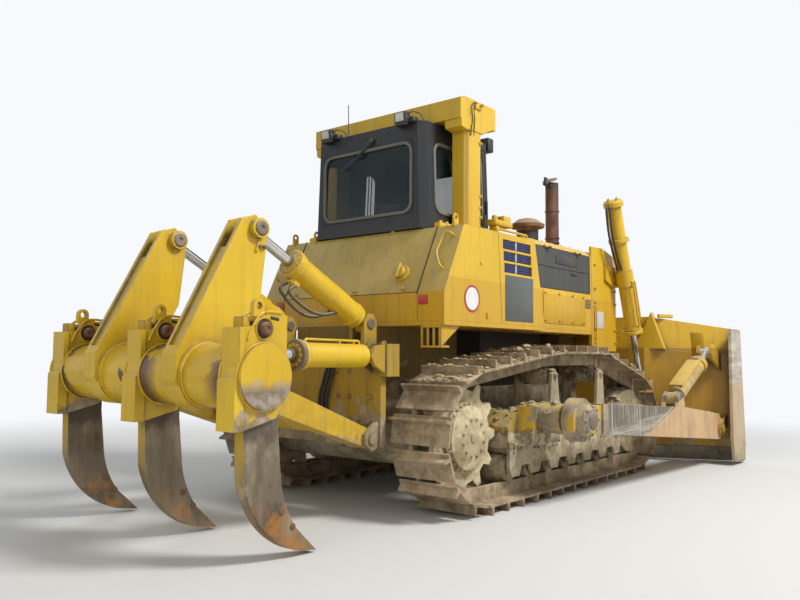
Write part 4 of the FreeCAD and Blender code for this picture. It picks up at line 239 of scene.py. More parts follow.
def weathered(name, colour, rough=0.5, metal=0.0, dust=0.3, shade_and_grime=0.3, streaks=0.3, chips=0.0,
              bare=(0.15, 0.11, 0.08), mud=0.0, mud_top=1.2, mud_fade=0.5,
              mud_colour=DRY_MUD, edge=0.008, relief=0.25, coat=0.0):
    """A finish with dust, rain streaks, worn edges and, below mud_top, dried mud.

    colour is one colour, or a function that paints it from the place on the object."""
    material, blank, shader, feed = finish(name)
    place = blank.place()
    broad = place.clouds(1.1, 3.0)
    fine = place.clouds(17.0, 6.0)
    drips = place.clouds(1.0, 4.0, (13, 13, 0.9))
    paint = colour(place) if callable(colour) else (broad + fine * 0.35).between(
        0.35, 0.95).tint(shaded(colour, 0.84), shaded(colour, 1.12))
    paint = (drips.between(0.48, 0.74) * streaks).tint(paint, shaded(GRIME_AND_SHADE, 1.6))
    film = (broad.between(0.25, 0.8) * 0.55 + fine.between(0.35, 0.8) * 0.45) * dust
    settled = place.facing("Z").between(0.15, 0.9) * (fine * 0.7 + 0.45)
    dusty = film * 0.42 + settled * dust * 1.5
    paint = dusty.between(0.0, 1.0).tint(paint, DUST)
    # Painted shade mixed with grime: where ambient occlusion finds corners, the colour is
    # tinted to the grime colour, which darkens the lighter finishes.
    open_sky = place.node("AmbientOcclusion", {"samples": 4, "only_local": True},
                          {"Distance": 0.22}, "AO")
    corners = (1 - open_sky) * (fine + 0.4) * shade_and_grime * 1.3
    paint = corners.between(0.05, 0.9).tint(paint, GRIME_AND_SHADE)
    soft_edge = place.node("Bevel", {"samples": 4}, {"Radius": edge})
    flat = place.node("NewGeometry", {}, {}, "Normal")
    turn = 1 - place.node("VectorMath", {"operation": "DOT_PRODUCT"},
                          {0: soft_edge, 1: flat}, "Value")
    rubbed = turn.between(0.01, 0.10) * fine.between(0.60 - chips * 0.4, 0.68) * chips * 2
    spots = place.clouds(42.0, 2.0).between(0.78 - chips * 0.12, 0.80) * chips
    worn = (rubbed + spots).math("MINIMUM", 1.0)
    paint = worn.tint(paint, bare)
    roughness = dusty * 0.35 + fine * 0.12 + rough - 0.06
    bumps = fine * 0.35 - worn * 0.4
    if mud:
        lumps = place.clouds(5.5, 6.0, shift=3.0)
        caked = (mud_top - place.part("Z")) * (1.0 / mud_fade) + (lumps - 0.5) * 3.0
        caked = caked.between(0.0, 0.35) * mud
        crust = (lumps + fine * 0.5).between(0.45, 0.95).tint(
            shaded(mud_colour, 0.50), shaded(mud_colour, 1.18))
        damp = place.clouds(2.3, 5.0, shift=12.0).between(0.50, 0.60) * 0.55
        crust = damp.tint(crust, shaded(mud_colour, 0.42, 0.36, 0.30))
        paint = caked.tint(paint, crust)
        roughness = roughness + caked * 0.4
        bumps = bumps + caked * (lumps * 2.2 + 0.6)
    feed(paint, "Base Color")
    feed(roughness.math("MINIMUM", 0.97), "Roughness")
    feed(place.node("Bump", {}, {"Strength": relief, "Distance": 0.02,
                                 "Height": bumps, "Normal": soft_edge}), "Normal")
    if metal:
        feed((1 - dusty) * metal, "Metallic")
    shader.inputs["Coat Weight"].default_value = coat
    return material


def dress(material, *names):
    """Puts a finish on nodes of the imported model."""
    for name in names:
        for kept in nodes[name].material_slots:
            kept.material = material


def piece_of(name, data, material, body):
    """Puts finished mesh data into the scene as a piece that rides on this body."""
    data.materials.clear()
    data.materials.append(material)
    piece = placed(name, data)
    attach(piece, body)
    return piece


def settle(name, mesh, material, body="machine", smooth=35):
    """Turns a bmesh into a piece that rides on this body."""
    bmesh.ops.recalc_face_normals(mesh, faces=mesh.faces)
    data = baked(name, mesh)
    data.shade_smooth()
    data.set_sharp_from_angle(angle=math.radians(smooth))
    return piece_of(name, data, material, body)


def rotation(degrees, axis):
    return Matrix.Rotation(math.radians(degrees), 3, axis)


def add(mesh, part, turn=Matrix.Identity(3), centre=(0, 0, 0)):
    """Turns a finished bmesh, moves it to its place and puts it into another one."""
    bmesh.ops.transform(part, matrix=Matrix.Translation(centre) @ turn.to_4x4(),
                        verts=part.verts)
    data = baked("part", part)
    mesh.from_mesh(data)
    bpy.data.meshes.remove(data)


def board(mesh, size, rounding, centre, turn=Matrix.Identity(3)):
    """Adds a block with rounded edges, which may be turned about its middle."""
    block = bmesh.new()
    bmesh.ops.create_cube(block, size=1.0)
    bmesh.ops.scale(block, vec=size, verts=block.verts)
    bmesh.ops.bevel(block, geom=block.edges[:], affect="EDGES", offset=rounding, segments=2,
                    profile=0.5, material=-1)
    add(mesh, block, turn, centre)


def turned(mesh, profile, centre, axis, segments=28):
    """Adds a lathe-turned shape: profile pairs are radius and distance along the axis."""
    lathe = bmesh.new()
    line = [lathe.verts.new((radius, 0, along)) for radius, along in profile]
    line += [lathe.edges.new(pair) for pair in zip(line, line[1:])]
    bmesh.ops.spin(lathe, geom=line, cent=(0, 0, 0), axis=(0, 0, 1), angle=math.tau,
                   steps=segments, use_merge=True, use_duplicate=False)
    bmesh.ops.remove_doubles(lathe, verts=lathe.verts, dist=1e-5)
    add(mesh, lathe, Vector(axis).to_track_quat("Z", "Y").to_matrix(), centre)


def knob(mesh, centre, axis, radius, height, top_radius, top_height, segments):
    """Adds a round cap with a chamfered top."""
    turned(mesh, ((0, 0), (radius, 0), (radius, height), (top_radius, top_height),
                  (0, top_height)), centre, axis, segments)


def ring(radius, angles):
    """Pairs on a circle, at given angles or, from a whole number, evenly spaced."""
    if isinstance(angles, int):
        angles = [math.tau * k / angles for k in range(angles)]
    return [(radius * math.cos(a), radius * math.sin(a)) for a in angles]


def bolts(mesh, places, radius=0.016, washer=True):
    """Adds hexagon heads, each on its washer, at pairs of place and outward direction."""
    for place, outward in places:
        turn = Vector(outward).to_track_quat("Z", "Y").to_matrix().to_4x4()
        layers = ((12, 1.55, 1.45, 0.5, 0.2), (6, 1.0, 0.93, 1.3, 1.0))
        for sides, foot, top, depth, height in layers if washer else layers[1:]:
            bmesh.ops.create_cone(
                mesh, cap_ends=True, segments=sides, radius1=radius * foot,
                radius2=radius * top, depth=radius * depth, matrix=Matrix.Translation(place)
                @ turn @ Matrix.Translation((0, 0, radius * height)))


def bent_tube(name, points, radius, material, bend=0.05,
              body="machine", sides=6):
    """A tube with straight runs and a round bend at each inner point."""
    curve = bpy.data.curves.new(name, "CURVE")
    curve.dimensions = "3D"
    curve.bevel_depth = radius
    curve.bevel_resolution = sides // 2
    curve.use_fill_caps = True
    stops = [(points[0], points[0], points[0])]
    for before, corner, after in zip(points, points[1:], points[2:]):
        reach = min(bend, (corner - before).length / 2.1, (after - corner).length / 2.1)
        start = corner + (before - corner).normalized() * reach
        end = corner + (after - corner).normalized() * reach
        stops.append((start, before, start.lerp(corner, 0.56)))
        stops.append((end, end.lerp(corner, 0.56), after))
    stops.append((points[-1], points[-1], points[-1]))
    run = curve.splines.new("BEZIER")
    run.bezier_points.add(len(stops) - 1)
    for point, (middle, left, right) in zip(run.bezier_points, stops):
        point.handle_left_type = point.handle_right_type = "FREE"
        point.co = middle
        point.handle_left = middle.lerp(left, 0.3) if left in points else left
        point.handle_right = middle.lerp(right, 0.3) if right in points else right
    run.resolution_u = 4
    data = bpy.data.meshes.new_from_object(bpy.data.objects.new(name + "_run", curve))
    data.shade_smooth()
    return piece_of(name, data, material, body)


def surface_of(*names):
    """The outer surface of some nodes, to set small pieces on."""
    points, faces = [], []
    for name in names:
        data = nodes[name].data
        start = len(points)
        points += [v.co.copy() for v in data.vertices]
        faces += [[start + i for i in p.vertices] for p in data.polygons]
    return BVHTree.FromPolygons(points, faces)


def hits(surface, starts, inward):
    """Place and surface direction wherever a ray from one of the starts meets a surface."""
    found = [surface.ray_cast(start, Vector(inward)) for start in starts]
    return [(place, facing) for place, facing, _, _ in found if place is not None]


def hull_colours(place):
    bright = place.clouds(1.1, 3.0).between(0.3, 0.8).tint((0.60, 0.365, 0.012),
                                                           (0.70, 0.44, 0.020))
    # Painted shade: below Z 2.085 the side boxes' faces curve under, so the yellow is painted
    # darker there.
    lower_shade = (2.085 - place.part("Z")).between(-0.006, 0.006)
    paint = (lower_shade * 0.75).tint(bright, (0.54, 0.30, 0.010))
    # Painted shade with dust: faces that slope up towards the rear, as on the tank, are tinted
    # a darker dusty olive.
    slope = (0 - place.facing("X")).between(0.55, 0.8) * place.facing("Z").between(0.1, 0.3)
    slope_shade_and_dust = place.clouds(2.2, 6.0, (1, 1, 0.6)).between(0.32, 0.7).tint(
        (0.36, 0.255, 0.045), (0.50, 0.37, 0.095))
    return (slope * 0.85).tint(paint, slope_shade_and_dust)


hull_paint = weathered(
    "hull_paint", hull_colours, rough=0.40, dust=0.28, shade_and_grime=0.6, streaks=0.25, chips=0.35,
    coat=0.1)
# Painted shade with real grime and mud: the belly's yellow is darkened to brown for the shade
# under the deck and behind the ripper.
belly_shade_and_grime = weathered(
    "belly_shade_and_grime", (0.20, 0.13, 0.03), rough=0.7, dust=0.5, shade_and_grime=0.9, streaks=0.6, chips=0.35,
    mud=1.0, mud_top=1.25)
dark_iron = weathered(
    "dark_iron", (0.035, 0.032, 0.03), rough=0.6, dust=0.5, shade_and_grime=0.4, streaks=0.0, chips=0.1)
dress(hull_paint, "fuel_tank", "side_boxes", "side_panels", "deck")
dress(belly_shade_and_grime, "main_frame", "equalizer_bar")
dress(dark_iron, "engine_block", "radiator_core")

# Tracks: cast links and rolled shoes of steel, driven over quarry mud that dried on them
# in a thick pale crust. The shoes' crests are rubbed bright where they bite the ground.
shoe_crust = weathered(
    "shoe_crust", (0.15, 0.12, 0.09), rough=0.62, metal=0.4, dust=0.8, shade_and_grime=1.0, streaks=0.1,
    chips=0.6, bare=(0.36, 0.31, 0.25), mud=0.95, mud_top=2.3, mud_fade=1.3,
    mud_colour=(0.47, 0.365, 0.235), edge=0.006, relief=0.9)
clod_finish = weathered(
    "clod_finish", (0.40, 0.32, 0.19), rough=0.93, dust=0.5, shade_and_grime=0.9, streaks=0.0,
    edge=0.004, relief=0.8)
dress(shoe_crust, "track_right", "track_left")


def clods(kind, side, surface, count, stations, outs, heights, sizes, seed, body="machine"):
    """Lumps of dried mud that lie on whatever faces up inside a region of one side."""
    hand, name = side
    pick = random.Random(seed + hand)
    near, far = sorted(hand * out for out in outs)
    low, high = spot(stations[0], near, heights[0]), spot(stations[1], far, heights[1])
    mesh, ball = bmesh.new(), bmesh.new()
    bmesh.ops.create_icosphere(ball, subdivisions=2, radius=1.0)
    laid, tries = 0, 0
    while laid < count and tries < count * 12:
        tries += 1
        start = Vector((pick.uniform(low.x, high.x), pick.uniform(low.y, high.y), high.z))
        place, facing, _, _ = surface.ray_cast(start, Vector((0, 0, -1)))
        if place is None or place.z < low.z or facing.z < 0.45:
            continue
        size = sizes[0] + (sizes[1] - sizes[0]) * pick.random() ** 2.2
        turn = Matrix.Rotation(pick.uniform(0, math.tau), 3, "Z")
        lump = ball.copy()
        for v in lump.verts:
            bulge = 1 + noise.noise(v.co * 1.5 + start * 9) * 0.9
            point = turn @ Vector((v.co.x * bulge, v.co.y * bulge * 0.8, v.co.z * 0.5))
            v.co = point * size + Vector((0, 0, size * 0.12))
        add(mesh, lump, centre=place)
        laid += 1
    ball.free()
    settle(f"{kind}_{name}", mesh, clod_finish, body, smooth=50)


for side in SIDES:
    shoes = surface_of("track_" + side[1])
    clods("track_mud", side, shoes, 330, (-0.30, 3.85), (0.86, 1.40), (1.02, 1.50),
          (0.012, 0.050), 11)
    clods("shoe_mud", side, shoes, 520, (-0.32, 1.1), (0.86, 1.40), (0.95, 1.50),
          (0.008, 0.034), 71)

# Sprockets: a toothed steel rim round a dished cover with a ring of bolts, all caked.
AXLE_HEIGHT = 0.663
hub_crust = weathered(
    "hub_crust", (0.42, 0.33, 0.13), rough=0.75, dust=0.8, shade_and_grime=0.9, chips=0.4,
    bare=(0.62, 0.56, 0.42), mud=0.95, mud_top=1.7, mud_fade=0.8,
    mud_colour=(0.60, 0.50, 0.31), relief=0.6)
dress(hub_crust, "sprocket_right", "sprocket_left")
hub = bmesh.new()
for hand, name in SIDES:
    face = surface_of("sprocket_" + name)
    for radius, count, size in ((0.292, 28, 0.013), (0.165, 12, 0.012)):
        angles = [math.tau * (k + 0.5) / count for k in range(count)]
        starts = [spot(x, hand * 1.6, AXLE_HEIGHT + z) for x, z in ring(radius, angles)]
        bolts(hub, [(place, facing if facing.y * hand > 0 else -facing)
                    for place, facing in hits(face, starts, (0, -hand, 0))], size)
    knob(hub, spot(0.0, hand * 1.288, AXLE_HEIGHT), (0, hand, 0), 0.045, 0.010, 0.034, 0.016,
         18)
settle("sprocket_bolts", hub, hub_crust)


# Track frames and rollers: heavy plate boxes, thick with mud, with the yellow paint left in
# patches on the upper side. Guards hang in front of the rollers.
def frame_colours(place):
    along = place.part("X") - AXLE
    patch = place.clouds(2.6, 5.0, shift=6.0)
    kept = (along - 0.40).between(0.0, 0.08) * (0.98 - along).between(0.0, 0.08)
    kept = kept * patch.between(0.46, 0.52) * (place.part("Z") - 0.60).between(0.0, 0.10)
    crust = patch.between(0.3, 0.7).tint((0.22, 0.17, 0.105), (0.50, 0.41, 0.255))
    return kept.tint(crust, (0.58, 0.36, 0.015))


FRAME_MUD = (0.45, 0.37, 0.235)
frame_crust = weathered(
    "frame_crust", frame_colours, rough=0.75, dust=0.45, shade_and_grime=1.0, chips=0.5,
    bare=(0.52, 0.47, 0.38), mud=1.0, mud_top=0.66, mud_fade=0.30, mud_colour=FRAME_MUD,
    relief=1.0)
roller_crust = weathered(
    "roller_crust", (0.13, 0.11, 0.085), rough=0.6, metal=0.5, dust=0.8, shade_and_grime=1.0,
    streaks=0.2, chips=0.35, mud=1.0, mud_top=1.7, mud_fade=1.2, mud_colour=FRAME_MUD,
    relief=0.8)
dress(frame_crust, "track_frame_right", "track_frame_left")
dress(roller_crust, "rollers_right", "rollers_left", "idler_right", "idler_left")
frame_bolts = bmesh.new()
for side in SIDES:
    hand, name = side
    plates = surface_of("track_frame_" + name, "rollers_" + name, "idler_" + name)
    rows = [(0.62 + 0.38 * k + shift, height)
            for k in range(7) for shift in (-0.035, 0.035) for height in (0.50, 0.545)]
    rows += [(3.45 + x, 0.61 + z) for x, z in ring(0.05, (0.8, 2.4, 3.9, 5.5))]
    rows += [(post + x, 1.185 + z) for post in (1.4, 2.48)
             for x, z in ring(0.022, (0.5, 2.6, 4.7))]
    starts = [spot(station, hand * 2.3, height) for station, height in rows]
    bolts(frame_bolts, [(place, (0, hand, 0))
                        for place, facing in hits(plates, starts, (0, -hand, 0))
                        if abs(facing.y) > 0.8 and abs(place.y) < 1.45], 0.014)
    clods("post_mud", side, plates, 90, (1.25, 2.65), (0.95, 1.35), (0.9, 1.32),
          (0.015, 0.045), 91)
    clods("frame_mud", side, plates, 170, (0.55, 3.4), (0.95, 1.95), (0.5, 1.04),
          (0.012, 0.05), 31)
settle("track_frame_bolts", frame_bolts, frame_crust)


# Push arms: long box girders. Wet stone has scraped the rear part to a streaky grey, with
# white weld lines, and the front part to bare pinkish plate.
def arm_colours(place):
    along = place.part("X") - AXLE
    height = place.part("Z")
    streak = place.clouds(1.0, 5.0, (2.0, 2.0, 30)).between(0.34, 0.66)
    wash = place.clouds(1.0, 4.0, (26, 26, 1.4)).between(0.40, 0.68)
    upper = (height - 0.70 - (along - 1.3) * 0.06).between(-0.01, 0.01)
    grey = (streak * 0.55 + 0.25).tint((0.11, 0.09, 0.065), (0.46, 0.42, 0.34))
    runs = wash * place.clouds(3.0, 5.0, shift=2.0).between(0.25, 0.75)
    grey = upper.tint(grey, runs.tint((0.12, 0.095, 0.065), (0.50, 0.46, 0.39)))
    bare = place.clouds(3.0).between(0.3, 0.7).tint((0.50, 0.31, 0.15), (0.60, 0.41, 0.22))
    front = (along - 2.45 - (height - 0.66) * 3.4).between(0.0, 0.03)
    band = front.tint(grey, bare)
    lumps = place.clouds(5.0, 6.0, shift=7.0)
    caked = lumps.between(0.35, 0.65).tint((0.20, 0.155, 0.10), (0.48, 0.39, 0.25))
    caked = lumps.between(0.56, 0.60).tint(caked, (0.56, 0.35, 0.02))
    band = (along - 1.22 + (lumps - 0.5) * 0.1).between(-0.02, 0.02).tint(caked, band)
    yellow_left = place.clouds(2.2, 5.0, shift=7.0).between(0.62, 0.68)
    return yellow_left.tint(band, YELLOW)


def bead(mesh, place, shape=(1, 1, 1)):
    """Adds a drop of weld metal."""
    drop = bmesh.ops.create_icosphere(mesh, subdivisions=1, radius=0.009)["verts"]
    bmesh.ops.scale(mesh, vec=shape, verts=drop)
    bmesh.ops.translate(mesh, vec=place, verts=drop)


arm_finish = weathered(
    "arm_finish", arm_colours, rough=0.6, dust=0.35, shade_and_grime=0.5, streaks=0.45, chips=0.45,
    bare=(0.30, 0.25, 0.19), relief=0.3)
weld_finish = weathered("weld_finish", (0.46, 0.44, 0.39), streaks=0.1, chips=0.2, relief=0.6)
pin_steel = weathered(
    "pin_steel", (0.20, 0.165, 0.13), metal=0.6, dust=0.6, shade_and_grime=0.6, streaks=0.1, chips=0.5,
    bare=(0.38, 0.35, 0.31), relief=0.3)
dress(arm_finish, "push_arm_right", "push_arm_left")
arm_top = surface_of("push_arm_right", "push_arm_left")
for side in SIDES:
    hand, name = side
    seams, cap = bmesh.new(), bmesh.new()
    starts = [spot(s0 + (s1 - s0) * (k + 0.5) / 46, hand * 2.3, z0 + (z1 - z0) * (k + 0.5) / 46)
              for s0, z0, s1, z1 in ((1.28, 0.64, 2.40, 0.675), (2.40, 0.675, 3.12, 0.885),
                                     (1.98, 0.50, 1.98, 0.94), (1.30, 0.52, 1.30, 0.93))
              for k in range(46)]
    for place, _ in hits(arm_top, starts, (0, -hand, 0)):
        if abs(place.y) >= 1.9:
            bead(seams, place, (1.9, 0.40, 0.7))
    settle(f"arm_welds_{name}", seams, weld_finish, "push_arms")
    bolts(cap, [(spot(0.9 + x, hand * 1.975, 0.8 + z), (0, hand, 0))
                for x, z in ring(0.125, 8)], 0.013)
    turned(cap, ((0, 0.0), (0.085, 0.0), (0.085, 0.010), (0.060, 0.024), (0, 0.030)),
           spot(0.9, hand * 1.994, 0.8), (0, hand, 0), 28)
    settle(f"trunnion_cap_{name}", cap, pin_steel, "push_arms")
    clods("arm_mud", side, arm_top, 46, (1.2, 4.5), (1.76, 2.0), (0.4, 1.1), (0.01, 0.032),
          51, "push_arms")


# Blade: a curved mouldboard of thick plate. Its back is sprayed yellow, darker orange-brown
# below the box beam's edge; the end plates and the face are scoured grey by the earth.
def blade_colours(place):
    height = place.part("Z")
    patch = place.clouds(1.6, 4.0)
    # Darker orange-brown below the box beam's edge.
    low = patch.between(0.3, 0.75).tint((0.36, 0.19, 0.012), (0.50, 0.28, 0.014))
    back = (height - 1.50).between(-0.01, 0.015).tint(low, YELLOW)
    scrape = place.clouds(1.0, 5.0, (3.0, 3.0, 22)).between(0.3, 0.75)
    scoured = scrape.tint((0.22, 0.18, 0.14), (0.44, 0.41, 0.36))
    front = (place.part("X") - AXLE - 4.45).between(0, 0.06)
    back = ((place.facing("X") - 0.2).between(0.0, 0.25) * front).tint(back, scoured)
    ends = (place.part("Y").math("ABSOLUTE") - 2.112).between(0.0, 0.002)
    pale = scrape.tint((0.36, 0.30, 0.20), (0.62, 0.58, 0.50))
    beige = place.clouds(3.0).between(0.3, 0.7).tint((0.46, 0.32, 0.17), (0.52, 0.40, 0.24))
    plate = (height - 1.02 - (patch - 0.5) * 0.5).between(-0.05, 0.05).tint(beige, pale)
    return ends.tint(back, plate)


blade_finish = weathered(
    "blade_finish", blade_colours, rough=0.48, dust=0.25, shade_and_grime=0.8, chips=0.45,
    bare=(0.24, 0.18, 0.12), mud=0.8, mud_top=0.35, relief=0.35)
scoured_edge = weathered(
    "scoured_edge", (0.30, 0.275, 0.24), rough=0.38, metal=0.8, dust=0.4, chips=0.5,
    bare=(0.5, 0.48, 0.44), mud=0.5, mud_top=0.2, relief=0.3)
dress(blade_finish, "blade")
dress(scoured_edge, "cutting_edge")
edge_bolts, blade_trim = bmesh.new(), bmesh.new()
starts = [spot(6.0, k * 0.152, height) for k in range(-13, 14) for height in (0.135, 0.225)]
bolts(edge_bolts, hits(surface_of("blade", "cutting_edge"), starts, (-1, 0, 0)), 0.014,
      washer=False)
settle("edge_bolts", edge_bolts, scoured_edge, "blade")
for hand, _ in SIDES:
    board(blade_trim, (0.26, 0.04, 0.05), 0.006, spot(4.66, hand * 1.30, 1.936),
          rotation(hand * 22, "Z"))
    # a bent guard plate shields the top eye of each brace
    board(blade_trim, (0.024, 0.17, 0.32), 0.005, spot(4.47, hand * 1.79, 1.55),
          rotation(-12, "Y"))
settle("blade_trim", blade_trim, blade_finish, body="blade")

# Brace cylinders and blade lift cylinders: honed tubes with chromed rods. Mud sticks to
# the bolted heads, and steel pipes and black hoses feed them along the barrel.
ram_paint = weathered(
    "ram_paint", (0.64, 0.40, 0.014), rough=0.42, shade_and_grime=0.7, chips=0.55,
    bare=(0.22, 0.17, 0.12))
brace_paint = weathered(
    "brace_paint", (0.60, 0.37, 0.02), rough=0.55, dust=0.5, shade_and_grime=0.9, streaks=0.5, chips=0.8,
    bare=(0.26, 0.21, 0.16), mud=0.6, mud_top=1.6, mud_fade=1.4)
rod_chrome = weathered(
    "rod_chrome", (0.62, 0.62, 0.61), rough=0.14, metal=1.0, dust=0.12, shade_and_grime=0.25,
    streaks=0.1, edge=0.004, relief=0.04)
hose_rubber = weathered(
    "hose_rubber", (0.022, 0.021, 0.02), rough=0.62, dust=0.45, streaks=0.0, edge=0.003,
    relief=0.2)
dress(ram_paint, "blade_lift_barrels")
dress(brace_paint, "brace_barrels")
dress(rod_chrome, "blade_lift_rods", "brace_rods", "ripper_lift_rods", "ripper_tilt_rods")


def ram(low, high):
    """A cylinder's direction, and a function that gives places beside its axis."""
    along = (high - low).normalized()
    across = Vector((0, 1, 0))
    above = along.cross(across)
    above = above if above.z > 0 else -above
    return along, lambda reach, up=0.0, out=0.0: (
        low + along * reach + above * up + across * out)


def gland(mesh, centre, axis, radius, count=12):
    """A cylinder's head: a stepped flange with a ring of bolts round it."""
    turned(mesh, ((radius * 0.62, -0.012), (radius + 0.014, -0.012), (radius + 0.02, -0.006),
                  (radius + 0.02, 0.030), (radius + 0.012, 0.036), (radius * 0.70, 0.036),
                  (radius * 0.66, 0.050), (radius * 0.55, 0.050)), centre, axis, 32)
    base = axis.orthogonal().normalized()
    around = [Matrix.Rotation(math.tau * k / count, 3, axis) @ base for k in range(count)]
    bolts(mesh, [(centre + axis * 0.036 + r * (radius * 0.86), axis) for r in around],
          radius * 0.085)


for hand, name in SIDES:
    along, beside = ram(spot(3.745, hand * 1.12, 2.385), spot(4.262, hand * 1.12, 0.95))
    head = bmesh.new()
    gland(head, beside(0.70), along, 0.108)
    turned(head, ((0.105, -0.028), (0.128, -0.022), (0.128, 0.022), (0.105, 0.028)),
           beside(-0.50), along, 28)
    bolts(head, [(beside(-1.016, up, out), -along)
                 for out, up in ring(0.07, (0.4, 2.0, 3.5, 5.1))])
    settle(f"lift_head_{name}", head, ram_paint, body="lift_barrels")
    out = hand * 0.125
    for k, (reach, up) in enumerate(((0.60, 0.010), (0.66, -0.050)), 1):
        bent_tube(f"lift_pipe_{name}_{k}", [
            beside(0.02, up * 0.75, out * 0.75), beside(0.05, up, out),
            beside(reach - 0.05, up, out), beside(reach, up * 0.7, out * 0.7)],
            0.011, ram_paint, 0.03, body="lift_barrels")
    for k, out in enumerate((-0.018, 0.028), 1):
        bent_tube(f"lift_hose_{name}_{k}", [
            beside(reach, 0, out) - Vector((behind, 0, 0)) for reach, behind in (
                (-0.92, 0.0936), (-0.90, 0.1755), (-0.55, 0.2275), (-0.22, 0.1625),
                (-0.10, 0.104))], 0.013, hose_rubber, 0.12, "lift_barrels")
    along, beside = ram(spot(3.29, hand * 1.88, 0.90), spot(4.50, hand * 1.88, 1.44))
    head, shield = bmesh.new(), bmesh.new()
    gland(head, beside(0.945), along, 0.098, 10)
    settle(f"brace_head_{name}", head, brace_paint, body="brace_barrels")
    tilt = along.to_track_quat("X", "Z").to_matrix()
    board(shield, (0.72, 0.17, 0.016), 0.005, beside(0.50, 0.108), tilt)
    for reach in (0.22, 0.78):
        board(shield, (0.03, 0.14, 0.04), 0.004, beside(reach, 0.094), tilt)
    settle(f"brace_shield_{name}", shield, ram_paint, body="brace_barrels")

# Ripper: a welded beam with three pockets and two towers, freshly painted but scuffed.
# Stones have polished the undersides, and purplish quarry dirt clings to the end discs.
POCKETS = (("right", -1.11), ("middle", 0.0), ("left", 1.11))
TUBE_STATION, TUBE_HEIGHT = -2.335, 1.235
TOWER_SIDE, TOWER_PIN = 0.515, (-1.905, 2.335)


def ripper_colours(place):
    height = place.part("Z")
    out = place.part("Y").math("ABSOLUTE")
    patch = place.clouds(2.4, 5.0, shift=4.0)
    tone = place.clouds(1.0, 3.0).between(0.3, 0.75)
    paint = tone.tint((0.62, 0.385, 0.010), (0.76, 0.50, 0.016))
    beside = (out - 1.11).math("ABSOLUTE")
    near = (0.30 - beside).between(0.0, 0.2).math("MAXIMUM", (0.34 - out).between(0.0, 0.2))
    reach = place.node("CombineXYZ", {}, {"X": place.part("X") - AXLE - TUBE_STATION,
                                          "Z": height - TUBE_HEIGHT}).length()
    tube = (0.226 - reach).between(0.0, 0.004) * (1.205 - out).between(0.0, 0.004)
    tube = tube * (beside - 0.09).between(0.0, 0.004) * (out - 0.09).between(0.0, 0.004)
    rusty = place.clouds(7.0, 6.0, shift=5.0).between(0.30, 0.9)
    scuffed = (patch - 0.585 + near * 0.13).between(0.0, 0.03) * (near * 0.9 + 0.1) * tube
    paint = scuffed.tint(paint, rusty.tint((0.055, 0.026, 0.014), (0.26, 0.12, 0.045)))
    disc = (out - 1.212).between(0.0, 0.006)
    ragged = place.clouds(9.0, 6.0) - 0.5
    level = (TUBE_HEIGHT - height + ragged * 0.16).between(0.0, 0.10)
    dirt = ragged.between(-0.2, 0.2).tint((0.12, 0.085, 0.065), (0.40, 0.33, 0.28))
    rearward = 0 - place.facing("X")
    foot = (1.01 - height + ragged * 0.35).between(0.0, 0.05) * (out - 0.9).between(0.0, 0.1)
    paint = (foot * 0.85 * (1 - rearward.between(0.5, 0.8))).tint(paint, dirt)
    # Painted shade: slopes above the tube that face up towards the rear are tinted olive in
    # patches.
    rear_slope_shade = (height - 1.48).between(0.0, 0.05) * rearward.between(0.55, 0.8)
    rear_slope_shade = rear_slope_shade * place.facing("Z").between(0.15, 0.35) * (ragged + 0.5).between(0.3, 0.6)
    paint = (rear_slope_shade * 0.6).tint(paint, (0.40, 0.33, 0.17))
    return (disc * level * 0.95).tint(paint, dirt)


def arm_yellow(place):
    patch = place.clouds(4.0, 6.0, (1, 1, 1.6))
    paint = patch.between(0.3, 0.7).tint((0.52, 0.32, 0.012), (0.66, 0.42, 0.03))
    rear = (0 - place.part("X") - 3.02 + (patch - 0.5) * 0.25).between(0.0, 0.12)
    return (rear * 0.8).tint(paint, (0.42, 0.31, 0.14))


ripper_paint = weathered(
    "ripper_paint", ripper_colours, rough=0.36, dust=0.16, shade_and_grime=0.8, streaks=0.15, chips=0.45,
    bare=(0.24, 0.13, 0.075), relief=0.28, coat=0.12)
# Painted shade with real grime and mud: the support's yellow is darkened for the shade behind
# the hull.
support_shade_and_grime = weathered(
    "support_shade_and_grime", (0.42, 0.26, 0.02), rough=0.6, dust=0.5, shade_and_grime=1.0, streaks=0.6,
    chips=0.6, bare=(0.2, 0.14, 0.1), mud=0.9, mud_top=0.98, mud_fade=0.4)
ripper_arm_paint = weathered(
    "ripper_arm_paint", arm_yellow, dust=0.4, shade_and_grime=0.8, chips=0.6, bare=(0.46, 0.38, 0.24),
    mud=0.8, mud_top=0.72, mud_fade=0.3)
hose_grey = weathered(
    "hose_grey", (0.085, 0.080, 0.070), rough=0.55, dust=0.5, streaks=0.0, edge=0.003,
    relief=0.2)
chipped_yellow = weathered(
    "chipped_yellow", (0.52, 0.32, 0.012), rough=0.55, shade_and_grime=0.9, chips=1.0,
    bare=(0.13, 0.055, 0.03), edge=0.02, relief=0.5)
caked_iron = weathered(
    "caked_iron", (0.21, 0.155, 0.095), rough=0.85, dust=0.5, shade_and_grime=1.0, streaks=0.2,
    chips=0.4, bare=(0.40, 0.33, 0.22), relief=1.0)
rust_brown = weathered(
    "rust_brown", (0.17, 0.075, 0.04), rough=0.75, dust=0.35, shade_and_grime=0.4, streaks=0.2,
    chips=0.3, bare=(0.08, 0.05, 0.04), relief=0.5)
slot_dark = weathered(
    "slot_dark", (0.05, 0.036, 0.02), rough=0.8, dust=0.2, shade_and_grime=0.4, streaks=0.0)
dress(ripper_paint, "ripper_beam", "ripper_tilt_barrels", "ripper_lift_barrels")
dress(support_shade_and_grime, "ripper_support")
dress(ripper_arm_paint, "ripper_arm")
dress(pin_steel, "ripper_pins", "ripper_base_pins")

